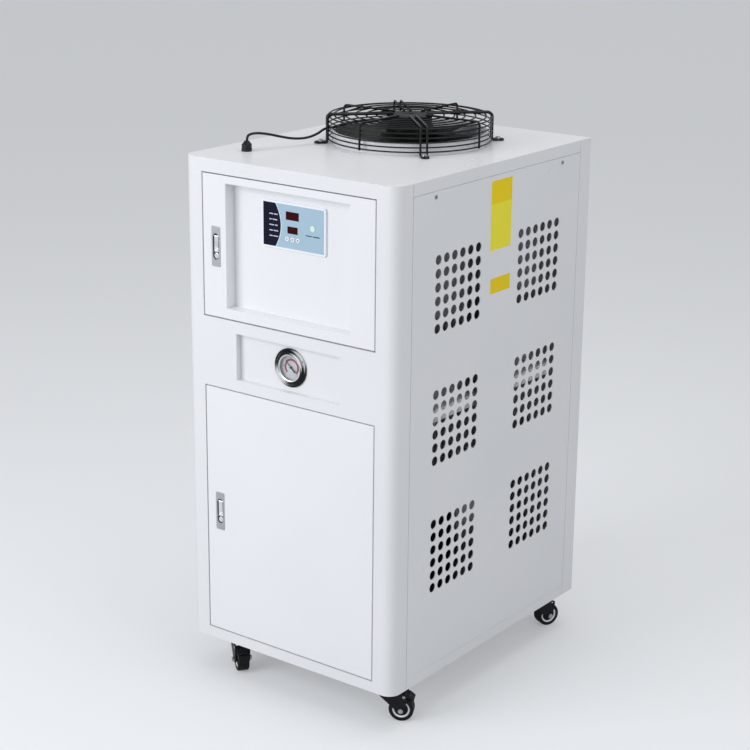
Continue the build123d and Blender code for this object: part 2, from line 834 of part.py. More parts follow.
def guard_feet():
    turns = [radians(45 + 90 * step) for step in range(4)]
    return [(cos(turn) * foot_screw, fan_y + sin(turn) * foot_screw) for turn in turns]


def fan_guard():
    """A welded wire basket: rings, four double legs with looped feet, four single ribs and a hub plate."""
    ring_z = leg_top - guard_leg_wire - guard_ring_wire + weld
    plate_z = ring_z - guard_ring_wire - 0.2
    basket = rod(rotor_hub_radius, (0, 0, plate_z), (0, 0, 1), guard_hub_plate)
    leg_points = []
    for hand in (1, -1):
        start = rotor_hub_radius - leg_overlap
        run = [(start, hand * leg_spread, leg_top), (leg_radius, hand * leg_spread, leg_top),
               (leg_radius, hand * leg_spread, leg_foot), (foot_end, hand * leg_spread, leg_foot)]
        leg_points += run if hand > 0 else run[::-1]
    bends = [guard_bend, guard_bend / 2, foot_bend, foot_bend, guard_bend / 2, guard_bend]
    leg = wire(leg_points, bends, guard_leg_wire)
    rib_points = [(rotor_hub_radius - rib_overlap, 0, leg_top), (leg_radius, 0, leg_top),
                  (leg_radius, 0, roof_top + rib_foot)]
    rib = wire(rib_points, [guard_bend], guard_leg_wire)
    for step in range(4):
        basket = basket.fuse(Rot(0, 0, 45 + 90 * step) * leg, Rot(0, 0, 90 * step) * rib)
    for step in range(guard_side_rings):
        z = roof_top + guard_first_ring + step * guard_ring_pitch
        basket = basket.fuse(Pos(0, 0, z) * Torus(guard_radius, guard_ring_wire))
    for step in range(guard_top_rings):
        ring = guard_radius - guard_top_pitch * (step + 1)
        basket = basket.fuse(Pos(0, 0, ring_z) * Torus(ring, guard_ring_wire))
    return Pos(0, fan_y, 0) * basket


def fan_motor():
    """The fixed flange and stub shaft of an external-rotor motor, hung under the guard's plate."""
    low = rotor_top + motor_clearance
    flange = rod(rotor_hub_radius - motor_inset, (0, fan_y, low), (0, 0, 1), motor_top - low)
    flange = fillet(flange.edges().sort_by(Axis.Z)[0], 4)
    deep = motor_hole_depth
    for turn in range(45, 360, 90):
        x, y = cos(radians(turn)) * motor_hole_circle, fan_y + sin(radians(turn)) * motor_hole_circle
        flange -= rod(motor_hole_radius, (x, y, motor_top - deep), (0, 0, 1), 2 * deep)
    foot = rotor_low + stub_seat
    return flange + rod(stub_radius, (0, fan_y, foot), (0, 0, 1), low + 3 - foot)


def fan_blade():
    """One twisted, swept blade, lofted through three thin curved sections."""
    sections = []
    radii = (rotor_hub_radius - 4, 0.62 * rotor_radius, rotor_radius)
    for radius, chord, pitch, sweep_turn in zip(radii, blade_chords, blade_pitches, blade_sweeps):
        plane = Plane(origin=(radius, 0, blade_mid), x_dir=(0, 1, 0), z_dir=(1, 0, 0))
        section = RectangleRounded(chord, blade_thickness, blade_thickness * 0.45)
        sections.append(Rot(0, 0, sweep_turn) * (plane * Rot(0, 0, -pitch) * section))
    return loft(sections)


def fan_rotor():
    """The cup of the outside rotor with its blades, trimmed round at their tips."""
    cup = rod(rotor_hub_radius, (0, 0, rotor_low), (0, 0, 1), rotor_top - rotor_low)
    cup = fillet(cup.edges().sort_by(Axis.Z)[0], 6)
    blade = fan_blade()
    blades = [Rot(0, 0, 360 / blade_count * step) * blade for step in range(blade_count)]
    rotor = cup.fuse(*blades)
    rim = Cylinder(rotor_radius + 40, 300) - Cylinder(rotor_radius, 301)
    rotor -= Pos(0, 0, blade_mid) * rim
    rotor -= rod(rotor_hub_radius - 4, (0, 0, rotor_top - rotor_cup_deep), (0, 0, 1), 2 * rotor_cup_deep)
    rotor -= rod(stub_radius + running_fit, (0, 0, rotor_low + stub_seat - 1), (0, 0, 1), 200)
    return Pos(0, fan_y, 0) * rotor


def lead_points():
    """The route of the fan lead, from the roof gland between two guard rings to the motor's flange."""
    start_z = roof_top + gland_height
    run = [(gland_x, gland_y, start_z - gland_grip)]
    reach = (guard_radius - 1) * sqrt(0.5)
    dx, dy = -reach - gland_x, fan_y - reach - gland_y
    for share, rise in lead_rises:
        run.append((gland_x + dx * share, gland_y + dy * share, start_z + rise))
    places = [(guard_radius + extra, z) for extra, z in lead_inside]
    places.append((rotor_hub_radius - motor_inset + lead_bite, lead_end))
    for radius, z in places:
        run.append((-radius * sqrt(0.5), fan_y - radius * sqrt(0.5), roof_top + z))
    return run


def arc_radii(points):
    """For each inner point, 0.45 of the shorter run over the tangent of half the turn."""
    radii = []
    for before, here, after in zip(points, points[1:], points[2:]):
        first, second = Vector(*here) - Vector(*before), Vector(*after) - Vector(*here)
        turn = radians(first.get_angle(second))
        radii.append(0.45 * min(first.length, second.length) / (sin(turn / 2) / cos(turn / 2)))
    return radii


def fan_lead():
    points = lead_points()
    radii = arc_radii(points)
    print("fan lead radii", [round(radius, 1) for radius in radii])
    path = FilletPolyline(*points, radius=radii)
    tube = wire(points, radii, lead_radius)
    print("fan lead length", round(path.length, 1), "volume share",
          round(tube.volume / (path.length * 3.14159265 * lead_radius**2), 4))
    return tube


# Cable glands on the roof and at the back


def gland_body(bore):
    """A hexagon flange with its thread below and a lock nut, along +Z from the panel's face."""
    flange = extrude(RegularPolygon(gland_hexagon, 6), amount=gland_flange)
    flange += rod(gland_neck, (0, 0, gland_flange), (0, 0, 1), gland_neck_length)
    body = flange + rod(thread_radius, (0, 0, -thread_length), (0, 0, 1), thread_length + 1)
    lock_z = -sheet - seat_gap - lock_thickness
    lock = extrude(Pos(0, 0, lock_z) * RegularPolygon(gland_hexagon, 6), amount=lock_thickness)
    lock -= rod(thread_radius - 0.1, (0, 0, -thread_length), (0, 0, 1), thread_length)
    return body.fuse(lock) - rod(bore, (0, 0, -thread_length - 1), (0, 0, 1), 30)


def gland_nut(bore):
    """The domed cap that clamps the cable."""
    low = gland_flange + 1
    nut = extrude(Pos(0, 0, low) * RegularPolygon(nut_hexagon, 6), amount=nut_thickness)
    high = low + nut_thickness
    seat = (Align.CENTER, Align.CENTER, Align.MIN)
    nut += Pos(0, 0, high) * Cone(gland_neck - 0.2, bore + 2, gland_height - high, align=seat)
    nut -= rod(gland_neck + 0.1, (0, 0, low - 1), (0, 0, 1), gland_neck_length + 0.2)
    return nut - rod(bore, (0, 0, low - 2), (0, 0, 1), 30)


def glands(maker):
    """The fan lead's gland on the roof and the empty one for the mains at the back."""
    roof_place = Plane(origin=(gland_x, gland_y, roof_top))
    back_place = Plane(origin=(mains_x, back, bottom + mains_rise), z_dir=(0, 1, 0))
    return (roof_place * maker(lead_radius + 0.1), back_place * maker(mains_bore))


# Castors


def castor_places():
    left, right = -side + castor_inset_left, side - castor_inset_right
    near, far = front + castor_inset_front, back - castor_inset_back
    return {"front_right": (right, near), "front_left": (left, near),
            "rear_right": (right, far), "rear_left": (left, far)}


def plate_holes(x, y):
    reach = castor_bolt_reach
    return [(x + i * reach, y + j * reach) for i in (-1, 1) for j in (-1, 1)]


def castor_plate(x, y):
    """Fixing plate, bearing cup and riveted king pin, with its four bolts."""
    half = castor_plate_half
    plate = block((x - half, x + half), (y - half, y + half), (plate_low, castor_height))
    plate = fillet(plate.edges().filter_by(Axis.Z), 5)
    plate += rod(castor_cup_radius, (x, y, cup_low), (0, 0, 1), castor_cup_depth + 1)
    foot = fork_top - king_pin_drop
    plate += rod(king_pin_radius, (x, y, foot), (0, 0, 1), plate_low - foot - 1)
    plate += rod(king_pin_rivet, (x, y, foot), (0, 0, 1), 4)
    shank = castor_plate_thickness + mount_bar + castor_bolt_show
    head = castor_head_depth
    for hole in plate_holes(x, y):
        plate += rod(castor_bolt_radius, (*hole, plate_low), (0, 0, 1), shank)
        plate += rod(castor_head_radius, (*hole, plate_low - head), (0, 0, 1), head + 0.3)
    return plate


def castor_fork():
    """A pressed fork with its wheel trailing along +X, before it is turned."""
    gap = wheel_width / 2 + fork_gap
    low, out = fork_top - fork_plate, gap + fork_plate
    crown = rod(castor_cup_radius - 1, (0, 0, low), (0, 0, 1), fork_plate)
    crown += block((-cheek_back, fork_reach), (-out, out), (low, fork_top))
    outline = Polygon((-cheek_back, fork_top), (fork_reach, fork_top), (cheek_reach, fork_top - 8.6),
                      (cheek_reach, fork_top - 15.6), (castor_trail + cheek_eye, wheel_radius),
                      (castor_trail - cheek_eye + 1, wheel_radius - 3), (-cheek_back, fork_top - 12),
                      align=None)
    outline += Pos(castor_trail, wheel_radius) * Circle(cheek_eye)
    fork = crown + slab(outline, gap, fork_plate) + slab(outline, -out, fork_plate)
    fork -= rod(king_pin_radius + running_fit, (0, 0, fork_top - 9), (0, 0, 1), 12)
    fork -= rod(axle_radius + 0.02, (castor_trail, -30, wheel_radius), (0, 1, 0), 60)
    return fork - rod(pedal_pin_radius + running_fit, (pedal_x, -30, pedal_z), (0, 1, 0), 60)


def castor_wheel():
    """A moulded wheel: rounded tread, sunk web and raised hub, bored for the axle."""
    half = wheel_width / 2
    wheel = Rot(90, 0, 0) * Cylinder(wheel_radius, wheel_width)
    wheel = fillet(wheel.edges(), tread_round)
    for hand in (-1, 1):
        web = rod(web_radius, (0, hand * (half - web_depth), 0), (0, hand, 0), web_depth + 1)
        wheel -= web - rod(hub_radius, (0, 0, 0), (0, hand, 0), 2 * half)
        wheel += rod(hub_radius, (0, hand * (half - 4), 0), (0, hand, 0), 4 + hub_depth)
    wheel -= rod(axle_radius + running_fit, (0, -30, 0), (0, 1, 0), 60)
    return Pos(castor_trail, 0, wheel_radius) * wheel


def castor_axle():
    """A bolt with a hexagon head and nut."""
    gap = wheel_width / 2 + fork_gap + fork_plate
    head = Plane(origin=(castor_trail, -gap, wheel_radius), z_dir=(0, -1, 0))
    nut = Plane(origin=(castor_trail, gap, wheel_radius), z_dir=(0, 1, 0))
    bolt = rod(axle_radius, (castor_trail, -gap - 1, wheel_radius), (0, 1, 0), 2 * gap + 6)
    bolt += extrude(head * RegularPolygon(axle_head, 6), amount=axle_head_depth)
    return bolt + extrude(nut * RegularPolygon(axle_head, 6), amount=axle_nut_depth)


def brake_pedal():
    """A foot pedal between the cheeks, hinged above the wheel."""
    half = wheel_width / 2 + fork_gap - pedal_gap
    outline = ((-6, 1), (1, 4), (10, 2), (20, -6), (19, -9), (9, -2), (-1, -2.6))
    profile = Polygon(*[(pedal_x + x, pedal_z + z) for x, z in outline], align=None)
    reach = half + fork_plate + 0.7
    pin = rod(pedal_pin_radius, (pedal_x, -reach, pedal_z), (0, 1, 0), 2 * reach)
    return slab(profile, -half, 2 * half) + pin


# Inside the cabinet


def compressor():
    """A welded hermetic shell on its foot plate and four rubber feet."""
    x, y = compressor_place
    radius, low, lift = compressor_radius, floor_top, 20
    shell = rod(radius, (x, y, low + lift), (0, 0, 1), compressor_height)
    shell = fillet(shell.edges().filter_by(GeomType.CIRCLE), 30)
    shell += rod(radius + 4, (x, y, low + lift + 130), (0, 0, 1), 8)
    half = compressor_foot
    foot = block((x - half, x + half), (y - half, y + half), (low + lift - 4, low + lift + 2))
    shell += fillet(foot.edges().filter_by(Axis.Z), 25)
    shell += block((x - 30, x + 30), (y - radius - 30, y - radius + 12), (low + 120, low + 190))
    for i in (-1, 1):
        for j in (-1, 1):
            shell += rod(13, (x + i * 0.8 * half, y + j * 0.8 * half, low), (0, 0, 1), lift - 3)
            shell += rod(5, (x + i * 0.8 * half, y + j * 0.8 * half, low + lift - 3), (0, 0, 1), 12)
    return shell


def condenser_coil():
    """Two upright finned slabs, one behind each perforated side, each in a sheet frame."""
    slabs = []
    for hand in (-1, 1):
        x = sorted((hand * (side - coil_inset), hand * (side - coil_inset - coil_thickness)))
        core = block(x, (coil_y[0] + 20, coil_y[1] - 20), (shelf_top + 10, shelf_top + coil_height - 10))
        frame = block(x, coil_y, (shelf_top, shelf_top + coil_height))
        frame -= block((x[0] - 1, x[1] + 1), (coil_y[0] + 20, coil_y[1] - 20),
                       (shelf_top + 10, shelf_top + coil_height - 10))
        slabs.append(core + frame)
    return slabs


def water_tank():
    """A welded steel tank with a flanged lid and a filler neck."""
    x, y = (-tank_half_width, tank_half_width), (front + tank_from_front, back - tank_from_back)
    high = floor_top + tank_height
    tank = fillet(block(x, y, (floor_top, high)).edges().filter_by(Axis.Z), 12)
    lid = block((x[0] - 8, x[1] + 8), (y[0] - 8, y[1] + 8), (high, high + 3))
    tank += fillet(lid.edges().filter_by(Axis.Z), 14)
    return tank + rod(30, (0, sum(y) / 2, high + 2), (0, 0, 1), 24)


def water_pump():
    """A horizontal motor with fins, a volute and two pipe necks, on a foot."""
    x, y = pump_place
    z = floor_top + pump_rise
    pump = rod(pump_radius, (x, y - 60, z), (0, 1, 0), 130)
    for step in range(pump_fins):
        fin = block((-1.5, 1.5), (-50, 60), (pump_radius - 4, pump_radius + 8))
        pump += Pos(x, y, z) * Rot(0, 360 / pump_fins * step, 0) * fin
    pump += rod(pump_radius + 8, (x, y + 70, z), (0, 1, 0), 34)
    pump += rod(neck_radius, (x, y + 87, z + 50), (0, 0, 1), 60)
    pump += rod(neck_radius, (x, y + 100, z), (0, 1, 0), 40)
    return pump + block((x - 45, x + 45), (y - 45, y + 60), (floor_top, z - 45))


def riser_places():
    return [(side - riser_inset, front + y) for y in risers_from_front]


def copper_pipes():
    """Suction and discharge risers from the compressor, with the filter drier in one."""
    x, y = compressor_place
    start_z = floor_top + compressor_height + 20
    pipes = []
    for (px, py), rise, start_x, end in zip(riser_places(), (370, 400), (x + 25, x - 25), (360, 60)):
        z, end_z = floor_top + rise, shelf_top + end
        points = [(start_x, y, start_z), (start_x, y, z), (px, py, z), (px, py, end_z)]
        points.append((px, coil_y[0], end_z))
        pipes.append(wire(points, [18, 18, 8], pipe_radius))
    drier = rod(drier_radius, (*riser_places()[0], floor_top + 430), (0, 0, 1), 70)
    pipes[0] += fillet(drier.edges().filter_by(GeomType.CIRCLE), drier_radius / 2)
    return pipes


def electrical_plate():
    """The mounting plate behind the upper door, folded at its foot and sides, with three rails."""
    high, half = shelf_top + plate_height, plate_half_width
    plate = block((-half, half), (plate_y, plate_y + 2), (shelf_top, high))
    plate += block((-half, half), (plate_y, plate_y + 40), (shelf_top, shelf_top + 2))
    for x in (1 - half, half - 3):
        plate += block((x, x + 2), (plate_y, plate_y + 40), (shelf_top, high))
    for z in [shelf_top + rise for rise in rail_rises]:
        plate += block((15 - half, half - 15), (rail_y, plate_y), (z - 17.5, z + 17.5))
    return plate


def contactors():
    """Switchgear on the rails: three contactors, a row of relays and a terminal strip."""
    strip_z, gear_z, relay_z = [shelf_top + rise for rise in rail_rises]
    gear = []
    for step in range(3):
        x = -120 + 60 * step
        unit = block((x - 22, x + 22), (rail_y - 60, rail_y), (gear_z - 35, gear_z + 35))
        unit += block((x - 16, x + 16), (rail_y - 74, rail_y - 59), (gear_z - 20, gear_z + 20))
        gear.append(unit)
    for step in range(5):
        x = -130 + 34 * step
        gear.append(block((x - 14, x + 14), (rail_y - 50, rail_y), (relay_z - 32, relay_z + 32)))
    strip = block((-140, 140), (rail_y - 32, rail_y), (strip_z - 15, strip_z + 15))
    for step in range(18):
        x = -132 + 15.5 * step
        strip -= block((x - 5, x + 5), (rail_y - 33, rail_y - 22), (strip_z - 10, strip_z + 10))
    return gear + [strip]


def port_places():
    """Across, height and radius of the inlet, the outlet and the drain."""
    return ((-110.0, bottom + port_rise, port_radius), (-30.0, bottom + port_rise, port_radius),
            (-70.0, bottom + drain_rise, drain_radius))


def water_ports():
    """Inlet, outlet and drain tails, each with a collar inside and outside the panel."""
    ports = []
    for x, z, radius in port_places():
        start, length = back - tank_from_back, tank_from_back + port_reach
        tail = rod(radius, (x, start, z), (0, 1, 0), length)
        for y in (back + 0.2, back - sheet - port_collar - 0.2):
            tail += rod(radius + port_collar, (x, y, z), (0, 1, 0), port_collar)
        ports.append(tail - rod(radius - port_wall, (x, start + 20, z), (0, 1, 0), length))
    return ports


def build():
    save("base_tray", base_tray())
    save("front_frame", front_frame())
    save("rear_posts", *rear_posts())
    save("roof_panel", roof_panel())
    save("fan_ring", fan_ring())
    save("side_panel_right", side_panel(1))
    save("side_panel_left", side_panel(-1))
    save("back_panel", back_panel())
    save("shelf", shelf())
    save("cabinet_screws", *cabinet_screws())
    save("door_pivots", *door_pivots())
    save("upper_door", upper_door())
    save("lower_door", door(*lower_door_z))
    for name, (low, high) in (("upper", upper_door_z), ("lower", lower_door_z)):
        z = (low + high) / 2
        save(name + "_latch_body", latch_body(z))
        save(name + "_latch_lever", latch_lever(z))
        save(name + "_latch_button", latch_button(z))
        save(name + "_latch_tongue", latch_tongue(z))
    save("control_module", control_module())
    save("display_windows", *display_windows())
    for name, place in zip(("menu_button", "up_button", "down_button"), menu_places()):
        save(name, key(place, menu_radius))
    save("start_button", key(panel_point(start_across, start_drop), start_radius))
    save("gauge_body", gauge_body())
    save("gauge_dial", gauge_dial())
    save("gauge_needle", gauge_needle())
    save("gauge_glass", gauge_glass())
    save("fan_guard", fan_guard())
    save("fan_motor", fan_motor())
    save("fan_rotor", fan_rotor())
    save("fan_lead", fan_lead())
    save("gland_bodies", *glands(gland_body))
    save("gland_nuts", *glands(gland_nut))
    save("castor_plates", *[castor_plate(x, y) for x, y in castor_places().values()])
    for name, (x, y) in castor_places().items():
        turned = Pos(x, y, 0) * Rot(0, 0, castor_turns[name])
        save("castor_fork_" + name, turned * castor_fork())
        save("castor_wheel_" + name, turned * castor_wheel())
        save("castor_axle_" + name, turned * castor_axle())
        if name.startswith("front"):
            save("brake_pedal_" + name, turned * brake_pedal())
    save("compressor", compressor())
    save("condenser_coil", *condenser_coil())
    save("water_tank", water_tank())
    save("water_pump", water_pump())
    save("copper_pipes", *copper_pipes())
    save("electrical_plate", electrical_plate())
    save("contactors", *contactors())
    save("water_ports", *water_ports())


build()
os.makedirs("parts", exist_ok=True)
for name, shape in parts.items():
    export_step(shape, f"parts/{name}.step")
print(len(parts), "nodes written")
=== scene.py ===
# %% [markdown]
# # A recirculating chiller
# The real machine is a folded sheet-steel cabinet with a baked powder coat, chrome latches, a printed
# control panel, a small pressure gauge and a black wire guard over the fan on its roof. The pieces with a
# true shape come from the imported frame. This file gives every surface its finish and adds what is too
# fine or too flat for it.

# %% Load the frame
import json
import bmesh
import bpy
import numpy as np
from mathutils import Matrix, Vector


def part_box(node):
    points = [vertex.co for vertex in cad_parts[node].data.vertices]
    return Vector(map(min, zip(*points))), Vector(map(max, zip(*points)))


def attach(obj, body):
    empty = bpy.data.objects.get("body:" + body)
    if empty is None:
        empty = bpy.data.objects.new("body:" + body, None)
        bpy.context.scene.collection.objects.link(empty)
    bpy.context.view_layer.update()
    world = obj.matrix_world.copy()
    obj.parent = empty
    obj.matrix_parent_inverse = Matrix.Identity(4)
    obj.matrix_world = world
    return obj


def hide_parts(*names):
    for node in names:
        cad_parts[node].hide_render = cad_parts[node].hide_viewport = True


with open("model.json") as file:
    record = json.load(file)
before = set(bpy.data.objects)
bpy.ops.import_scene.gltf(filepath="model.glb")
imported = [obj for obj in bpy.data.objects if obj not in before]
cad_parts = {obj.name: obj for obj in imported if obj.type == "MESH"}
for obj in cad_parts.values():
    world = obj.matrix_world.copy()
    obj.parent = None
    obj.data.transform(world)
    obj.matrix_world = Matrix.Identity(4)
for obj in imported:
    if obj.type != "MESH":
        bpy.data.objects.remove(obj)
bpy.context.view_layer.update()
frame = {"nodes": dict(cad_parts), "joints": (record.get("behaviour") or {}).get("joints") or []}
MM = 0.001

# %% [markdown]
# ## Camera
# The photograph looks at the front and the right side from a little above, through a long lens. The place
# and the turn of the camera were solved from the cabinet's corners, whose real sizes are known. Blender's
# camera looks along its own -Z with +Y up, so its matrix is filled from the right, up and backward
# directions.

# %% Camera
CAMERA_PLACE = (2.1536, -2.9528, 1.7326)
CAMERA_YAW, CAMERA_PITCH, CAMERA_ROLL = -0.640571, -0.300467, 0.0096467
LENS_MM = 88.91


def camera_turn(yaw, pitch, roll):
    """Columns right, up and backward: yaw turns about Z, pitch lifts the nose, roll tips the horizon."""
    forward = np.array([np.sin(yaw) * np.cos(pitch), np.cos(yaw) * np.cos(pitch), np.sin(pitch)])
    level = np.array([np.cos(yaw), -np.sin(yaw), 0.0])
    upright = np.cross(level, forward)
    right = level * np.cos(roll) + upright * np.sin(roll)
    up = upright * np.cos(roll) - level * np.sin(roll)
    return Matrix(np.column_stack([right, up, -forward]).tolist()).to_4x4()


lens = bpy.data.cameras.new("photo_lens")
lens.lens = LENS_MM
lens.sensor_width = 36
camera = bpy.data.objects.new("photo_camera", lens)
camera.matrix_world = Matrix.Translation(CAMERA_PLACE) @ camera_turn(CAMERA_YAW, CAMERA_PITCH, CAMERA_ROLL)
bpy.context.scene.collection.objects.link(camera)
bpy.context.scene.camera = camera
bpy.context.scene.view_settings.view_transform = "Standard"

# %% [markdown]
# ## Nodes and colours
# Every material is a small network of shader nodes. One helper adds a node, sets it and links what feeds
# it, so each material below reads as a list of what happens. Colours are written as the hex values a
# screen shows and are turned to the linear values that light works in.

# %% Helpers for materials


def linear(hex_colour):
    """sRGB hex to linear: c / 12.92 when c is small, else ((c + 0.055) / 1.055) to the power 2.4."""
    channels = np.array([int(hex_colour[i:i + 2], 16) for i in (1, 3, 5)]) / 255
    low, high = channels / 12.92, ((channels + 0.055) / 1.055) ** 2.4
    return (*np.where(channels <= 0.04045, low, high).tolist(), 1.0)


def add(tree, kind, inputs=None, **settings):
    """Adds one node. Settings are its properties, inputs are plain values or the sockets that feed it."""
    made = tree.nodes.new("ShaderNode" + kind)
    for key, value in settings.items():
        setattr(made, key, value)
    for key, value in (inputs or {}).items():
        if isinstance(value, bpy.types.NodeSocket):
            tree.links.new(value, made.inputs[key])
        else:
            made.inputs[key].default_value = value
    return made


def start(name, colour, roughness, metallic=0.0, **sockets):
    """A new material with values on the shader's own sockets. Gives the material, its tree and its shader."""
    material = bpy.data.materials.new(name)
    material.use_nodes = True
    tree = material.node_tree
    shader = tree.nodes["Principled BSDF"]
    values = {"Base Color": linear(colour), "Roughness": roughness, "Metallic": metallic, **sockets}
    for key, value in values.items():
        shader.inputs[key].default_value = value
    return material, tree, shader


def place(tree, stretch=(1, 1, 1)):
    """Object coordinates in metres, stretched along each axis."""
    coordinates = add(tree, "TexCoord").outputs["Object"]
    return add(tree, "Mapping", {"Vector": coordinates, "Scale": stretch}).outputs["Vector"]


def noise(tree, grain_mm, stretch=(1, 1, 1), detail=2.0):
    """Cloudy noise from 0 to 1 whose patches are about grain_mm across."""
    inputs = {"Vector": place(tree, stretch), "Scale": 1 / (grain_mm * MM), "Detail": detail}
    return add(tree, "TexNoise", inputs).outputs["Fac"]


def ramp(tree, fac, low, high):
    """Turns 0..1 into low..high."""
    return add(tree, "MapRange", {"Value": fac, "To Min": low, "To Max": high}).outputs["Result"]


def emboss(tree, shader, height, depth_mm, strength=1.0):
    """Bump: the height pattern stands depth_mm tall on the surface."""
    inputs = {"Height": height, "Distance": depth_mm * MM, "Strength": strength}
    tree.links.new(add(tree, "Bump", inputs).outputs["Normal"], shader.inputs["Normal"])


def tint(tree, shader, fac, first, second):
    """Blends the base colour between two hex colours by a pattern."""
    mix = add(tree, "Mix", {0: fac, 6: linear(first), 7: linear(second)}, data_type="RGBA")
    tree.links.new(mix.outputs[2], shader.inputs["Base Color"])


def dress(material, *names):
    """Gives CAD nodes this material."""
    for name in names:
        for slot in frame["nodes"][name].material_slots:
            slot.material = material


# %% [markdown]
# ## Powder coat
# The cabinet is mild steel with a baked polyester powder coat: a white semi-gloss that shows a fine
# orange peel and broad, soft reflections. Real orange peel is about 1 mm across. It is drawn at 3 mm
# here, because 1 mm is half a pixel in the picture.

# %% Powder coat


def powder_coat(name, light, shade):
    """White baked powder: two nearly equal whites in broad patches, and a fine orange peel."""
    material, tree, shader = start(name, light, 0.28, IOR=1.5)
    tint(tree, shader, noise(tree, 180, detail=0.0), light, shade)
    tree.links.new(ramp(tree, noise(tree, 90, detail=0.0), 0.27, 0.29), shader.inputs["Roughness"])
    emboss(tree, shader, noise(tree, 3.0, detail=0.0), 0.006)
    return material


casing_white = powder_coat("powder_coat_casing", "#ebecee", "#e6e8ea")
door_white = powder_coat("powder_coat_doors", "#eff0f2", "#ebecef")
dress(casing_white, "base_tray", "front_frame", "rear_posts", "roof_panel", "fan_ring", "side_panel_right",
      "side_panel_left", "back_panel", "shelf")
dress(door_white, "upper_door", "lower_door")

# %% [markdown]
# ## Metals
# Chrome plate mirrors the room. Zinc plate and brushed steel are the same silver with a rougher, grained
# surface: the grain is noise squeezed along one axis. A metal's colour is the colour of its mirror image,
# so these bases are light greys, and the darkness of the chrome comes from what it reflects.

# %% Metals


def brushed(name, colour, roughness, stretch, grain_mm=0.6, depth_mm=0.01):
    """A metal whose fine scratches run along the axis that the stretch leaves small."""
    material, tree, shader = start(name, colour, roughness, 1.0)
    grain = noise(tree, grain_mm, stretch)
    tree.links.new(ramp(tree, grain, roughness - 0.08, roughness + 0.08), shader.inputs["Roughness"])
    emboss(tree, shader, grain, depth_mm)
    return material


def plated(name, colour, roughness, grain_mm=25.0):
    """A plated metal with slow clouds in its polish."""
    material, tree, shader = start(name, colour, roughness, 1.0)
    clouds = noise(tree, grain_mm)
    tree.links.new(ramp(tree, clouds, roughness * 0.7, roughness * 1.3), shader.inputs["Roughness"])
    emboss(tree, shader, clouds, 0.02)
    return material


latch_satin = brushed("satin_chrome_latch", "#c3c5c9", 0.36, (1, 1, 0.06))
lever_bright = plated("bright_chrome_lever", "#f4f5f7", 0.30)
zinc = plated("zinc_plate", "#c3c5c6", 0.32, 12.0)
screw_zinc = plated("screw_zinc", "#a9abac", 0.30, 3.0)
stainless = brushed("brushed_stainless_tank", "#c2c4c6", 0.32, (1, 1, 0.02))
copper = plated("drawn_copper", "#c9835c", 0.26, 15.0)
turned_brass = brushed("turned_brass", "#c9ad6a", 0.28, (1, 8, 1), 1.2)
FIN_PITCH = 4.0


def finned(name, colour, gap_shade):
    """Upright fins: the sine of the depth over the fin pitch, the aluminium's own colour on each fin and
    painted shade between two.
    """
    material, tree, shader = start(name, colour, 0.42, 0.85)
    depth = add(tree, "SeparateXYZ", {0: place(tree)}).outputs["Y"]
    turn = add(tree, "Math", {0: depth, 1: 2 * np.pi / (FIN_PITCH * MM)}, operation="MULTIPLY").outputs[0]
    ridge = ramp(tree, add(tree, "Math", {0: turn}, operation="SINE").outputs[0], 0.3, 0.9)
    # Painted shade: the dark gap colour is blended in between the fins.
    tint(tree, shader, ridge, gap_shade, colour)
    emboss(tree, shader, ridge, 0.8)
    return material


fins = finned("aluminium_fins_painted_gap_shade", "#c9cccf", "#6b6f73")
dress(fins, "condenser_coil")
dress(latch_satin, "upper_latch_body", "lower_latch_body")
dress(lever_bright, "upper_latch_lever", "lower_latch_lever", "upper_latch_button", "lower_latch_button")
dress(zinc, "castor_plates", "electrical_plate", "upper_latch_tongue", "lower_latch_tongue")
dress(zinc, *[name for name in frame["nodes"] if name.startswith("castor_axle")])
dress(screw_zinc, "cabinet_screws", "door_pivots")
dress(stainless, "water_tank")
dress(copper, "copper_pipes")
dress(turned_brass, "water_ports")

# %% [markdown]
# ## Black parts
# The guard is dipped in black plastic, the fan is black enamel and glass-filled nylon, the lead is PVC,
# and the castors are pressed steel with moulded treads. All are black, and the eye tells them apart by
# gloss: the dip coat and the enamel shine, the mouldings have a fine spark-eroded grain, and the tread is
# dull.

# %% Black parts


def moulded(name, colour, roughness, grain_mm=1.2, depth_mm=0.02, **sockets):
    """A plastic or rubber moulding with the fine pitted skin of its tool."""
    material, tree, shader = start(name, colour, roughness, 0.0, **sockets)
    rough = ramp(tree, noise(tree, 14), roughness - 0.05, roughness + 0.06)
    tree.links.new(rough, shader.inputs["Roughness"])
    emboss(tree, shader, noise(tree, grain_mm), depth_mm)
    return material


DULL = {"Specular IOR Level": 0.3}
dip_coat = moulded("black_dip_coat_wire", "#0a0b0c", 0.30, 2.0, 0.03, **DULL)
enamel = moulded("black_enamel_motor", "#0b0c0d", 0.40, 3.0, 0.03, **DULL)
rotor_nylon = moulded("glass_filled_nylon_rotor", "#0b0c0d", 0.38, 1.5, 0.03, **DULL)
gland_nylon = moulded("nylon_gland", "#0c0d0e", 0.38, **DULL)
lead_pvc = moulded("pvc_lead", "#0a0b0b", 0.36, 1.5, **DULL)
fork_enamel = moulded("black_enamel_fork", "#0c0d0e", 0.34, **DULL)
tread = moulded("moulded_tread", "#0f0f10", 0.50, 1.0, **DULL)
pedal_nylon = moulded("nylon_pedal", "#0e0f10", 0.40, **DULL)
shell_black = moulded("black_enamel_compressor", "#191b1e", 0.30, 4.0, 0.05)
pump_blue = moulded("enamel_pump", "#4a5561", 0.40, 3.0, 0.05)
gear_grey = moulded("phenolic_switchgear", "#3b3d40", 0.45)
dress(enamel, "fan_motor")
dress(rotor_nylon, "fan_rotor")
dress(gland_nylon, "gland_bodies", "gland_nuts")
dress(fork_enamel, *[name for name in frame["nodes"] if name.startswith("castor_fork")])
dress(tread, *[name for name in frame["nodes"] if name.startswith("castor_wheel")])
dress(pedal_nylon, "brake_pedal_front_right", "brake_pedal_front_left")
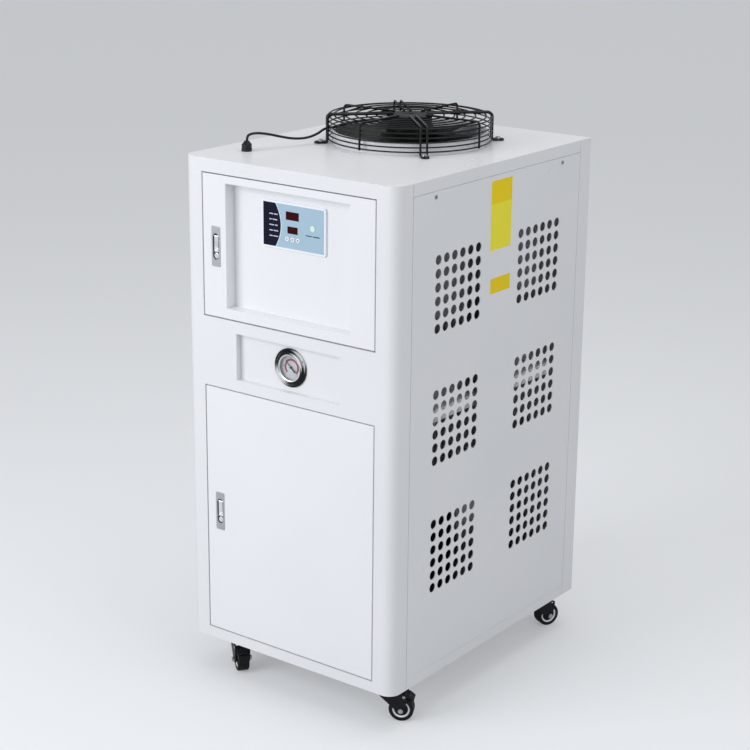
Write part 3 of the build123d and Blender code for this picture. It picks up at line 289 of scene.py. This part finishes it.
dress(shell_black, "compressor")
dress(pump_blue, "water_pump")
dress(gear_grey, "contactors")

# %% [markdown]
# ## Fan lead
# The lead is a 5 mm PVC cable, about a third of a metre long. It rises out of the gland, arches over,
# sags towards the roof and climbs through the guard to the motor. It is one smooth spline through
# listed control points.

# %% Fan lead
LEAD_DIAMETER = 5.0 * MM
LEAD_ROUTE_MM = [
    (-183.7, -241.4, 1092.0), (-183.7, -241.4, 1107.0), (-181.3, -235.4, 1112.5), (-175.4, -220.8, 1113.5),
    (-167.2, -200.1, 1110.0), (-157.6, -176.0, 1103.0), (-145.9, -146.8, 1095.5), (-134.2, -117.6, 1094.0),
    (-124.5, -93.5, 1101.0), (-122.0, -76.5, 1109.5), (-109.2, -63.7, 1111.5), (-87.3, -41.8, 1120.0),
    (-62.6, -17.1, 1125.5), (-31.1, 14.4, 1126.0)]


def flex(name, route, diameter):
    """A NURBS curve of order 3 that starts and ends at its end points, with a round bevel."""
    curve = bpy.data.curves.new(name, "CURVE")
    curve.dimensions = "3D"
    curve.bevel_depth = diameter / 2
    curve.bevel_resolution = 6
    curve.resolution_u = 16
    curve.use_fill_caps = True
    spline = curve.splines.new("NURBS")
    spline.points.add(len(route) - 1)
    for point, spot in zip(spline.points, route):
        point.co = (*(value * MM for value in spot), 1.0)
    spline.order_u = 3
    spline.use_endpoint_u = True
    made = bpy.data.objects.new(name, curve)
    bpy.context.scene.collection.objects.link(made)
    return made


lead = flex("fan_lead_flex", LEAD_ROUTE_MM, LEAD_DIAMETER)
lead.data.materials.append(lead_pvc)
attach(lead, "cabinet")
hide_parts("fan_lead")

# %% [markdown]
# ## Mesh helpers
# New pieces are surfaces worked out as whole arrays. A grid of points becomes quads between neighbours,
# and closing a direction joins its last row to its first.

# %% Mesh helpers


def mesh_piece(name, points, faces, material, body, slot, smooth=True):
    """Makes an object at the origin from points in metres, turns its faces outwards and lets it ride."""
    mesh = bpy.data.meshes.new(name)
    mesh.from_pydata(np.asarray(points).reshape(-1, 3).tolist(), [], [list(face) for face in faces])
    shape = bmesh.new()
    shape.from_mesh(mesh)
    bmesh.ops.recalc_face_normals(shape, faces=shape.faces)
    shape.to_mesh(mesh)
    shape.free()
    mesh.materials.append(material)
    mesh.polygons.foreach_set("use_smooth", [smooth] * len(mesh.polygons))
    made = bpy.data.objects.new(name, mesh)
    bpy.context.scene.collection.objects.link(made)
    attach(made, body)
    print(name, "faces", len(mesh.polygons))
    return made


def grid_faces(rows, columns, close_rows=False, close_columns=False):
    """Quads of a rows x columns grid of points that are numbered row by row."""
    index = np.arange(rows * columns).reshape(rows, columns)
    if close_rows:
        index = np.vstack([index, index[:1]])
    if close_columns:
        index = np.hstack([index, index[:, :1]])
    quads = np.stack([index[:-1, :-1], index[:-1, 1:], index[1:, 1:], index[1:, :-1]], axis=-1)
    return quads.reshape(-1, 4)


def side_ways(axis):
    """Two unit directions square to an axis and to each other."""
    axis = np.asarray(axis, float) / np.linalg.norm(axis)
    across = np.cross(axis, (0, 0, 1) if abs(axis[2]) < 0.9 else (1, 0, 0))
    across /= np.linalg.norm(across)
    return axis, across, np.cross(axis, across)


def turned(profile, centre, axis, steps=32):
    """A closed profile of (radius, height) points carried round an axis, as points and quads."""
    axis, across, along = side_ways(axis)
    radius, height = np.asarray(profile, float).T
    turn = np.linspace(0, 2 * np.pi, steps, endpoint=False)[:, None]
    ray = np.cos(turn) * across + np.sin(turn) * along
    points = np.asarray(centre) + radius[None, :, None] * ray[:, None, :] + height[None, :, None] * axis
    return points.reshape(-1, 3), grid_faces(steps, len(radius), True, True).tolist()


def gathered(parts):
    """Many (points, faces) pairs put together as one."""
    points, faces, count = [], [], 0
    for spots, quads in parts:
        points.append(np.asarray(spots).reshape(-1, 3))
        faces += [[index + count for index in face] for face in quads]
        count += len(points[-1])
    return np.concatenate(points), faces


def prisms(outlines, normal, thickness):
    """Flat outlines of n points each, given a thickness along the normal: two caps and a wall for each."""
    outlines = np.asarray(outlines, float)
    count, sides, _ = outlines.shape
    points = np.concatenate([outlines, outlines + np.asarray(normal, float) * thickness], axis=1)
    ring = np.arange(sides)
    walls = np.stack([ring, np.roll(ring, -1), np.roll(ring, -1) + sides, ring + sides], axis=-1)
    starts = np.arange(count)[:, None, None] * 2 * sides
    faces = (walls[None] + starts).reshape(-1, 4).tolist()
    faces += (ring[::-1][None] + starts[:, 0]).tolist() + ((ring + sides)[None] + starts[:, 0]).tolist()
    return points.reshape(-1, 3), faces


def prism_piece(name, outlines, normal, thickness, material, body, slot):
    """A piece of many like prisms."""
    points, faces = prisms(outlines, normal, thickness)
    return mesh_piece(name, points, faces, material, body, slot, smooth=False)


def rounded(width, height, radius, steps=5):
    """Outline of a rounded rectangle about the origin: four quarter circles joined by straight sides."""
    quarter = np.linspace(0, np.pi / 2, steps)
    corners = [((width / 2 - radius) * x, (height / 2 - radius) * y, turn)
               for x, y, turn in ((1, 1, 0), (-1, 1, 1), (-1, -1, 2), (1, -1, 3))]
    arcs = [np.stack([x + radius * np.cos(quarter + turn * np.pi / 2),
                      y + radius * np.sin(quarter + turn * np.pi / 2)], axis=-1) for x, y, turn in corners]
    return np.concatenate(arcs)


def on_front(outline, centre_x, y, centre_z):
    """Puts a flat outline on a plane that faces the front."""
    return np.stack([outline[:, 0] + centre_x, np.full(len(outline), y), outline[:, 1] + centre_z], axis=-1)


# %% [markdown]
# ## Fan guard
# The guard is welded from steel wire and dipped in black plastic. Each ring is a wire bent to a circle.
# Each double leg is one wire that runs out from the hub, down to the roof, round its foot and back again,
# with a real bend at every corner. The frame's own guard has close rings on its top. The real rings are
# about twice as far apart, so light falls through, and this guard takes its place with the wider pitch.

# %% Fan guard
low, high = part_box("fan_guard")
FAN_X, FAN_Y, ROOF_Z, GUARD_TOP = (low.x + high.x) / 2, (low.y + high.y) / 2, low.z, high.z
RING_WIRE, LEG_WIRE = 1.5 * MM, 2.25 * MM
GUARD_RADIUS = 163.5 * MM
LEG_REACH, FOOT_REACH, SPREAD = 166.95 * MM, 190.95 * MM, 6.5 * MM
SIDE_RINGS_MM = [8, 17, 26, 35, 44, 53]
TOP_RINGS_MM = [152, 131, 110, 89, 68]
HUB_RADIUS = 47.0 * MM
LEG_BENDS_MM = [8, 4, 6.4, 6.4, 4, 8]
RIB_BEND, RIB_FOOT = 8 * MM, 6 * MM
LEG_OVERLAP, RIB_OVERLAP = 12 * MM, 8 * MM
WELD = 0.3 * MM
HUB_PLATE, HUB_EDGE, HUB_DISH = 3.2 * MM, 0.8 * MM, 12 * MM
PLATE_DROP = 0.4 * MM
AXIS_RADIUS = 1e-5


def bent(corners, radii, steps=6):
    """A wire's middle line: each corner becomes an arc from r tan(turn / 2) before it to as far after it."""
    corners = np.asarray(corners, float)
    line = [corners[0]]
    for before, here, after, radius in zip(corners, corners[1:], corners[2:], radii):
        first, second = here - before, after - here
        first, second = first / np.linalg.norm(first), second / np.linalg.norm(second)
        turn = np.arccos(np.clip(first @ second, -1, 1))
        reach = radius * np.tan(turn / 2)
        begin = here - first * reach
        inward = second - first * (first @ second)
        inward /= np.linalg.norm(inward)
        for share in np.linspace(0, turn, steps):
            line.append(begin + first * radius * np.sin(share) + inward * radius * (1 - np.cos(share)))
    return np.array(line + [corners[-1]])


def round_wire(line, radius, sides=10):
    """A tube round a line: each section is square to the run, and its frame is carried on without twist."""
    runs = np.gradient(line, axis=0)
    runs /= np.linalg.norm(runs, axis=1)[:, None]
    _, up, _ = side_ways(runs[0])
    turn = np.linspace(0, 2 * np.pi, sides, endpoint=False)[:, None]
    rows = []
    for spot, run in zip(line, runs):
        up = up - run * (up @ run)
        up /= np.linalg.norm(up)
        rows.append(spot + radius * (np.cos(turn) * up + np.sin(turn) * np.cross(run, up)))
    faces = grid_faces(len(line), sides, False, True).tolist()
    ends = [list(range(sides)), list(range((len(line) - 1) * sides, len(line) * sides))]
    return np.array(rows).reshape(-1, 3), faces + ends


def about_fan(points, degrees):
    """Turns points about the fan's axis and puts them on the roof."""
    cosine, sine = np.cos(np.radians(degrees)), np.sin(np.radians(degrees))
    x, y, z = np.asarray(points, float).T
    return np.stack([x * cosine - y * sine + FAN_X, x * sine + y * cosine + FAN_Y, z + ROOF_Z], axis=-1)


def wire_ring(radius, height):
    """A ring of wire: a circle of the wire's radius carried round the fan's axis."""
    bow = np.linspace(0, 2 * np.pi, 8, endpoint=False)
    profile = np.stack([radius + RING_WIRE * np.cos(bow), RING_WIRE * np.sin(bow)], axis=-1)
    return turned(profile, (FAN_X, FAN_Y, ROOF_Z + height), (0, 0, 1), 120)


leg_top, leg_foot = GUARD_TOP - ROOF_Z - LEG_WIRE, LEG_WIRE
half_leg = [(HUB_RADIUS - LEG_OVERLAP, SPREAD, leg_top), (LEG_REACH, SPREAD, leg_top),
            (LEG_REACH, SPREAD, leg_foot), (FOOT_REACH, SPREAD, leg_foot)]
leg_corners = half_leg + [(x, -y, z) for x, y, z in half_leg[::-1]]
rib_corners = [(HUB_RADIUS - RIB_OVERLAP, 0, leg_top), (LEG_REACH, 0, leg_top), (LEG_REACH, 0, RIB_FOOT)]
parts = [wire_ring(GUARD_RADIUS, height * MM) for height in SIDE_RINGS_MM]
parts += [wire_ring(radius * MM, leg_top - LEG_WIRE - RING_WIRE + WELD) for radius in TOP_RINGS_MM]
for step in range(4):
    leg = bent(leg_corners, [radius * MM for radius in LEG_BENDS_MM])
    parts.append(round_wire(about_fan(leg, 45 + 90 * step), LEG_WIRE))
    parts.append(round_wire(about_fan(bent(rib_corners, [RIB_BEND]), 90 * step), LEG_WIRE))
wire_guard = mesh_piece("wire_guard", *gathered(parts), dip_coat, "cabinet", "guard_wire")
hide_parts("fan_guard")
plate_top = GUARD_TOP - LEG_WIRE * 2 + PLATE_DROP
hub = [(AXIS_RADIUS, -HUB_PLATE), (HUB_RADIUS - 1 * MM, -HUB_PLATE), (HUB_RADIUS, HUB_EDGE - HUB_PLATE),
       (HUB_RADIUS, -HUB_EDGE), (HUB_RADIUS - 1.5 * MM, 0), (HUB_DISH, 0), (HUB_DISH - 2 * MM, -HUB_EDGE),
       (AXIS_RADIUS, -HUB_EDGE)]
hub_points, hub_faces = turned(hub, (FAN_X, FAN_Y, plate_top), (0, 0, 1), 64)
mesh_piece("guard_hub_plate", hub_points, hub_faces, tread, "cabinet", "guard_wire")

# %% [markdown]
# ## Control panel
# The control module's face is a printed polyester film: a white rim, a navy field with a bulging edge, a
# white arc beside it and a pale blue field. Print is colour by place, so the material works out from each
# point's distance to the edges which field it lies in. Short plain bars of white ink fill the rows of the
# navy field.

# %% Printed film of the control panel
low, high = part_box("control_module")
PANEL_LEFT, PANEL_RIGHT, PANEL_LOW, PANEL_HIGH = low.x, high.x, low.z, high.z
PANEL_FACE = low.y
RIM = 4.2 * MM
NAVY_MIDDLE, NAVY_END = 47.0 * MM, 31.0 * MM
ARC_LINE = 2.0 * MM


def printed_film():
    """Fields by position: the navy edge is a parabola of the height, and the rim is where an edge is near."""
    material, tree, shader = start("printed_polyester_film", "#a0bccd", 0.42, **{"Specular IOR Level": 0.12})
    split = add(tree, "SeparateXYZ", {0: add(tree, "TexCoord").outputs["Object"]}).outputs

    def maths(kind, first, second=0.0, third=0.0):
        return add(tree, "Math", {0: first, 1: second, 2: third}, operation=kind).outputs[0]

    middle, half = (PANEL_LOW + PANEL_HIGH) / 2, (PANEL_HIGH - PANEL_LOW) / 2
    height = maths("DIVIDE", maths("SUBTRACT", split["Z"], middle), half)
    bulge = maths("MULTIPLY_ADD", maths("MULTIPLY", height, height), NAVY_END - NAVY_MIDDLE,
                  PANEL_LEFT + NAVY_MIDDLE)
    past = maths("SUBTRACT", split["X"], bulge)
    navy = maths("LESS_THAN", past, 0.0)
    arc = maths("LESS_THAN", past, ARC_LINE)
    side_gap = maths("SUBTRACT", (PANEL_RIGHT - PANEL_LEFT) / 2,
                     maths("ABSOLUTE", maths("SUBTRACT", split["X"], (PANEL_LEFT + PANEL_RIGHT) / 2)))
    end_gap = maths("SUBTRACT", half, maths("ABSOLUTE", maths("SUBTRACT", split["Z"], middle)))
    rim = maths("LESS_THAN", maths("MINIMUM", side_gap, end_gap), RIM)
    behind = maths("GREATER_THAN", split["Y"], PANEL_FACE + 0.6 * MM)
    pale = add(tree, "Mix", {0: ramp(tree, split["Z"], 0, 1), 6: linear("#98b4c6"), 7: linear("#a8c3d4")},
               data_type="RGBA").outputs[2]
    pale = add(tree, "Mix", {0: arc, 6: pale, 7: linear("#d6e4ec")}, data_type="RGBA").outputs[2]
    pale = add(tree, "Mix", {0: navy, 6: pale, 7: linear("#080d28")}, data_type="RGBA").outputs[2]
    plastic = maths("MAXIMUM", rim, behind)
    colour = add(tree, "Mix", {0: plastic, 6: pale, 7: linear("#f0f3f8")}, data_type="RGBA").outputs[2]
    tree.links.new(colour, shader.inputs["Base Color"])
    emboss(tree, shader, noise(tree, 1.0), 0.01)
    return material


dress(printed_film(), "control_module")

# %% Windows, keys and lamp
smoked, tree, shader = start("smoked_acrylic_window", "#4a0303", 0.16, **{"Specular IOR Level": 0.15})
tint(tree, shader, noise(tree, 9), "#2a0203", "#480506")
white_key = moulded("white_abs_key", "#eef0f2", 0.30)
lamp_cap = moulded("milky_lamp_cap", "#dff0e6", 0.22, 3.0)
dress(smoked, "display_windows")
dress(white_key, "menu_button", "up_button", "down_button")
dress(lamp_cap, "start_button")

# %% Bars and key marks
INK = 0.06 * MM
ink_white, _, _ = start("white_screen_ink", "#c6ccd8", 0.5)
ink_dark, _, _ = start("dark_screen_ink", "#2a3142", 0.5)
BAR_HEIGHT = 2.0 * MM
LEGEND_LEFT = PANEL_LEFT + 19 * MM
LEGEND_TOP = PANEL_HIGH - 26 * MM
LEGEND_PITCH = 10.6 * MM
WORD_GAP = 1.5 * MM
LEGEND_WORDS_MM = [(10, 9), (6, 12), (12, 7), (9, 11), (8, 12)]
LAMP_WORDS_MM = (15, 17)
LAMP_LEFT, LAMP_HEIGHT = PANEL_LEFT + 107 * MM, PANEL_HIGH - 57 * MM
MARK_RADIUS = 2.3 * MM


def word_bars(rows, left, top, pitch, y):
    """One row of short rounded bars for each tuple of bar lengths in millimetres."""
    outlines = []
    for row, words in enumerate(rows):
        x = left
        for word in words:
            bar = rounded(word * MM, BAR_HEIGHT, BAR_HEIGHT * 0.45, 4)
            outlines.append(on_front(bar, x + word * MM / 2, y, top - row * pitch))
            x += word * MM + WORD_GAP
    return outlines


legend = word_bars(LEGEND_WORDS_MM, LEGEND_LEFT, LEGEND_TOP, LEGEND_PITCH, PANEL_FACE - INK)
prism_piece("panel_legend_bars", legend, (0, 1, 0), INK, ink_white, "upper_door", "panel_film")
lamp_line = word_bars([LAMP_WORDS_MM], LAMP_LEFT, LAMP_HEIGHT, 0, PANEL_FACE - INK)
prism_piece("panel_lamp_bars", lamp_line, (0, 1, 0), INK, ink_dark, "upper_door", "panel_film")


def key_mark(name, body, turn):
    """A small triangle on a key's cap, its tip up for no turn."""
    low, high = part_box(name)
    corners = np.array([0, 1, 2]) * 2 * np.pi / 3 + np.pi / 2 + turn
    tip = np.stack([np.cos(corners), np.sin(corners)], axis=-1) * MARK_RADIUS
    spot = on_front(tip, (low.x + high.x) / 2, low.y - INK, (low.z + high.z) / 2)
    prism_piece(name + "_mark", [spot], (0, 1, 0), INK, ink_dark, body, "key_white")


key_mark("menu_button", "menu_key", np.pi / 2)
key_mark("up_button", "up_key", 0.0)
key_mark("down_button", "down_key", np.pi)

# %% [markdown]
# ## Gauge
# A glycerine gauge has a white dial behind glass, with a red scale band and black ticks. The band is a
# strip of a flat ring, and each tick is a narrow prism. The glass is clear with a thin, clean edge. The
# case is polished chrome, and its bright and dark arcs are a painted reflection, drawn into its colour by
# the angle about the gauge's axis.

# %% Gauge dial and glass
low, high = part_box("gauge_dial")
DIAL_X, DIAL_Z, DIAL_FACE = (low.x + high.x) / 2, (low.z + high.z) / 2, low.y
BAND_IN, BAND_OUT = 13.4 * MM, 17.4 * MM
TICK_OUT = 22.5 * MM
SCALE_START, SCALE_END = np.radians(225), np.radians(-45)
dial_enamel, tree, shader = start("white_dial_enamel", "#eef1f6", 0.45)
tint(tree, shader, noise(tree, 12), "#eef1f6", "#e6eaf2")
red_ink, _, _ = start("red_scale_ink", "#a81228", 0.45)
needle_black, _, _ = start("matt_black_needle", "#141428", 0.5)
CLEAR = {"Transmission Weight": 1.0, "IOR": 1.45}
clear_glass, _, _ = start("gauge_glass_clear", "#ffffff", 0.02, 0.0, **CLEAR)
REFLECTION_ARCS, REFLECTION_TURN = 2.0, -1.4
REFLECTION_RING_STEP = 0.9 * MM


def chrome_with_painted_reflection():
    """Painted reflection: bright and dark arcs in the colour, a cosine of the angle about the gauge's axis,
    broken by a sine of the radius.
    """
    material, tree, shader = start("gauge_chrome_painted_reflection", "#9a9c9e", 0.10, 1.0)
    split = add(tree, "SeparateXYZ", {0: add(tree, "TexCoord").outputs["Object"]}).outputs
    across = add(tree, "Math", {0: split["X"], 1: DIAL_X}, operation="SUBTRACT").outputs[0]
    rise = add(tree, "Math", {0: split["Z"], 1: DIAL_Z}, operation="SUBTRACT").outputs[0]
    angle = add(tree, "Math", {0: rise, 1: across}, operation="ARCTAN2").outputs[0]
    reach = add(tree, "VectorMath", {0: add(tree, "CombineXYZ", {0: across, 2: rise}).outputs[0]},
                operation="LENGTH").outputs["Value"]
    reflection_wave = add(tree, "Math", {0: angle, 1: REFLECTION_ARCS, 2: REFLECTION_TURN}, operation="MULTIPLY_ADD").outputs[0]
    reflection_wave = add(tree, "Math", {0: reflection_wave}, operation="COSINE").outputs[0]
    step = add(tree, "Math", {0: reach, 1: 1 / REFLECTION_RING_STEP}, operation="MULTIPLY").outputs[0]
    step = add(tree, "Math", {0: step}, operation="SINE").outputs[0]
    painted_reflection = add(tree, "Math", {0: step, 1: 0.35, 2: reflection_wave}, operation="MULTIPLY_ADD").outputs[0]
    light = add(tree, "MapRange", {"Value": painted_reflection, "From Min": 0.15, "From Max": 0.95}).outputs["Result"]
    # Painted reflection: the arc pattern blends the base colour from a dark grey to a bright grey.
    tint(tree, shader, light, "#2b2d2e", "#f2f3f4")
    return material


dress(chrome_with_painted_reflection(), "gauge_body")
dress(dial_enamel, "gauge_dial")
dress(needle_black, "gauge_needle")
dress(clear_glass, "gauge_glass")


def dial_points(radius, angle):
    """Points on the dial's face at a radius and an angle from the right, anticlockwise."""
    return np.stack([DIAL_X + radius * np.cos(angle), np.full(np.shape(radius * angle), DIAL_FACE - INK),
                     DIAL_Z + radius * np.sin(angle)], axis=-1)


def tick(angle, inside, outside, half_width):
    """A narrow quadrilateral along a radius."""
    ray = np.array([np.cos(angle), 0, np.sin(angle)])
    across = np.array([-np.sin(angle), 0, np.cos(angle)]) * half_width
    centre = np.array([DIAL_X, DIAL_FACE - INK, DIAL_Z])
    return [centre + ray * inside - across, centre + ray * outside - across,
            centre + ray * outside + across, centre + ray * inside + across]


band = np.linspace(SCALE_START, SCALE_END, 72)
edges = np.concatenate([dial_points(BAND_OUT, band), dial_points(BAND_IN, band[::-1])])
quads = [np.array([edges[i], edges[i + 1], edges[-i - 2], edges[-i - 1]]) for i in range(len(band) - 1)]
prism_piece("gauge_red_band", quads, (0, 1, 0), INK, red_ink, "cabinet", "dial_white")
marks = np.linspace(SCALE_START, SCALE_END, 31)
ticks = [tick(angle, BAND_OUT + (0.6 if step % 5 else 0.2) * MM, TICK_OUT - (2.4 if step % 5 else 0) * MM,
              (0.12 if step % 5 else 0.3) * MM) for step, angle in enumerate(marks)]
prism_piece("gauge_ticks", ticks, (0, 1, 0), INK, ink_dark, "cabinet", "dial_white")

# %% Gauge inner ring
low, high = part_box("gauge_body")
GAUGE_FRONT = low.y
LIP_PROFILE_MM = [(27.3, 0.1), (27.3, 2.1), (24.5, 2.1), (24.3, 1.9), (24.6, 1.5), (26.6, 0.15)]
lip = [(radius * MM, height * MM) for radius, height in LIP_PROFILE_MM]
inner_ring = turned(lip, (DIAL_X, GAUGE_FRONT, DIAL_Z), (0, 1, 0), 64)
mesh_piece("gauge_inner_ring", *inner_ring, lever_bright, "cabinet", "gauge_chrome")

# %% [markdown]
# ## Stickers
# Two yellow vinyl stickers sit on the right side. They are plain fields of yellow, the upper third of the
# long one a little deeper.

# %% Stickers
STICKER = 0.12 * MM
low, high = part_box("side_panel_right")
SIDE_FACE = high.x


def sticker(name, y_range, z_range, light, deep, split):
    """A thin rounded plate on the side panel, two yellows split at a height."""
    material, tree, shader = start("yellow_vinyl_" + name, light, 0.5, **{"Specular IOR Level": 0.25})
    height = add(tree, "SeparateXYZ", {0: add(tree, "TexCoord").outputs["Object"]}).outputs["Z"]
    above = add(tree, "Math", {0: height, 1: split}, operation="GREATER_THAN").outputs[0]
    tint(tree, shader, above, light, deep)
    emboss(tree, shader, noise(tree, 8), 0.05)
    width, tall = (y_range[1] - y_range[0]) * MM, (z_range[1] - z_range[0]) * MM
    shape = rounded(width, tall, 1.5 * MM)
    points = np.stack([np.full(len(shape), SIDE_FACE), shape[:, 0] + sum(y_range) / 2 * MM,
                       shape[:, 1] + sum(z_range) / 2 * MM], axis=-1)
    prism_piece(name, [points], (1, 0, 0), STICKER, material, "cabinet", "casing_paint")


sticker("long_sticker", (-43.5, 28.5), (909, 1045), "#f4ea3e", "#f4d80c", 1.000)
sticker("small_sticker", (-39.5, 29.5), (822.5, 853), "#f2d410", "#f2d410", 2.0)

# %% [markdown]
# ## Castor rings and rivets
# The wheels have a bright moulded ring in the sunk web on each side. Its surface is a half round carried
# about the axle: the point at turn a around the axle and b around the section lies at radius r + s cos b,
# and stands s sin b out of the web.

# %% Castor rings
RING_RADIUS = 16.0 * MM
RING_HALF = 2.3 * MM
WEB_REACH = 9.4 * MM
ring_white = moulded("white_polypropylene_ring", "#fafbfc", 0.32)
wheel_joints = {joint["child"]: joint for joint in frame["joints"] if joint["name"].startswith("roll_")}


def wheel_ring(body, joint):
    """Two half-round rings about the wheel's own axis, one on each side of its web."""
    bow = np.linspace(0, 2 * np.pi, 12, endpoint=False)
    radius, rise = RING_RADIUS + RING_HALF * np.cos(bow), WEB_REACH + RING_HALF * 0.6 * np.sin(bow)
    axis = np.array(joint["axis"], float)
    parts = [turned(np.stack([radius, rise], axis=-1), joint["pos_m"], axis * hand, 64) for hand in (1, -1)]
    mesh_piece(body + "_ring", *gathered(parts), ring_white, body, "castor_tyre")


for body, joint in wheel_joints.items():
    wheel_ring(body, joint)

# %% Castor rivets
CHEEK_FACE, PIN_END = 16.1 * MM, 16.3 * MM
SWIVEL_TRAIL = 26.0 * MM
CHEEK_RIVET_REACH, CHEEK_RIVET_HEIGHT, CHEEK_RIVET_RADIUS = 12.0 * MM, 58.0 * MM, 2.6 * MM
PIN_REACH, PIN_HEIGHT, PIN_RIVET_RADIUS = 32.0 * MM, 54.0 * MM, 3.2 * MM
RIVET_RISE, RIVET_SUNK = 1.5 * MM, 0.3 * MM


def dome(radius, height):
    """A closed half-egg profile: a quarter ellipse from the rim to the axis, and back along the base."""
    sweep = np.linspace(0, np.pi / 2, 7)[:-1]
    arc = np.stack([radius * np.cos(sweep), height * np.sin(sweep)], axis=-1)
    return np.concatenate([arc, [(AXIS_RADIUS, height), (AXIS_RADIUS, -RIVET_SUNK), (radius, -RIVET_SUNK)]])


def fork_rivets(name, joint):
    """Domed rivets on both cheeks, above the axle, and on a braked castor also on the pedal's pin."""
    turn, axis = np.array(joint["pos_m"], float), np.array(joint["axis"], float)
    trail = np.cross(axis, (0, 0, 1))
    swivel = turn - trail * SWIVEL_TRAIL
    spots = [(CHEEK_RIVET_REACH, CHEEK_RIVET_HEIGHT, CHEEK_FACE, CHEEK_RIVET_RADIUS)]
    if "brake_" + name in brakes:
        spots.append((PIN_REACH, PIN_HEIGHT, PIN_END, PIN_RIVET_RADIUS))
    parts = []
    for reach, height, out, size in spots:
        for hand in (1, -1):
            foot = swivel + trail * reach + axis * hand * out
            foot[2] = height
            parts.append(turned(dome(size, RIVET_RISE), foot, axis * hand, 20))
    mesh_piece("rivets_" + name, *gathered(parts), screw_zinc, "fork_" + name, "zinc_steel")


brakes = {joint["name"] for joint in frame["joints"] if joint["name"].startswith("brake_")}
for joint in wheel_joints.values():
    fork_rivets(joint["name"][len("roll_"):], joint)

# %% [markdown]
# ## Stage and light
# A pale floor and a pale surround, one large soft light from the front left, a weaker one from the right
# and one overhead. The surround is brighter to the camera and through glass than as light on the object,
# so it doesn't wash the object out.

# %% Floor, world and lamps
FLOOR_HALF, FLOOR_GLOW = 30.0, 0.33
floor = bpy.data.meshes.new("pale_floor")
floor.from_pydata([(-FLOOR_HALF, -FLOOR_HALF, 0), (FLOOR_HALF, -FLOOR_HALF, 0), (FLOOR_HALF, FLOOR_HALF, 0),
                   (-FLOOR_HALF, FLOOR_HALF, 0)], [], [(0, 1, 2, 3)])
floor_piece = bpy.data.objects.new("pale_floor", floor)
bpy.context.scene.collection.objects.link(floor_piece)
floor_paint, tree, shader = start("pale_floor_paint", "#c9cbcd", 0.8)
emboss(tree, shader, noise(tree, 20), 0.05)
camera_ray = add(tree, "LightPath").outputs["Is Camera Ray"]
glow = add(tree, "Math", {0: camera_ray, 1: FLOOR_GLOW}, operation="MULTIPLY").outputs[0]
shader.inputs["Emission Color"].default_value = linear("#e6e8ea")
tree.links.new(glow, shader.inputs["Emission Strength"])
floor.materials.append(floor_paint)

world = bpy.data.worlds.new("soft_studio")
bpy.context.scene.world = world
world.use_nodes = True
sky = world.node_tree
rays = add(sky, "LightPath").outputs
seen = add(sky, "Math", {0: rays["Is Camera Ray"], 1: rays["Is Transmission Ray"]}, operation="MAXIMUM")
backdrop = add(sky, "Background", {"Color": linear("#dcdee1"), "Strength": 1.0}).outputs[0]
ambient = add(sky, "Background", {"Color": linear("#edeff3"), "Strength": 0.55}).outputs[0]
shown = add(sky, "MixShader", {0: seen.outputs[0], 1: ambient, 2: backdrop}).outputs[0]
sky.links.new(shown, sky.nodes["World Output"].inputs["Surface"])


def softbox(name, spot, aim, size, watts, colour):
    """A square area lamp at a spot, turned to face its aim."""
    lamp = bpy.data.lights.new(name, "AREA")
    lamp.size = size
    lamp.energy = watts
    lamp.color = linear(colour)[:3]
    made = bpy.data.objects.new(name, lamp)
    made.location = spot
    made.rotation_euler = (Vector(aim) - Vector(spot)).to_track_quat("-Z", "Y").to_euler()
    bpy.context.scene.collection.objects.link(made)


AIM = (0, 0, 0.6)
softbox("front_key", (-1.4, -3.2, 1.9), AIM, 2.4, 74, "#fbfcff")
softbox("right_fill", (3.2, -0.6, 2.0), AIM, 2.0, 19, "#ffffff")
softbox("top_light", (0.3, 0.2, 3.2), AIM, 2.2, 23, "#ffffff")
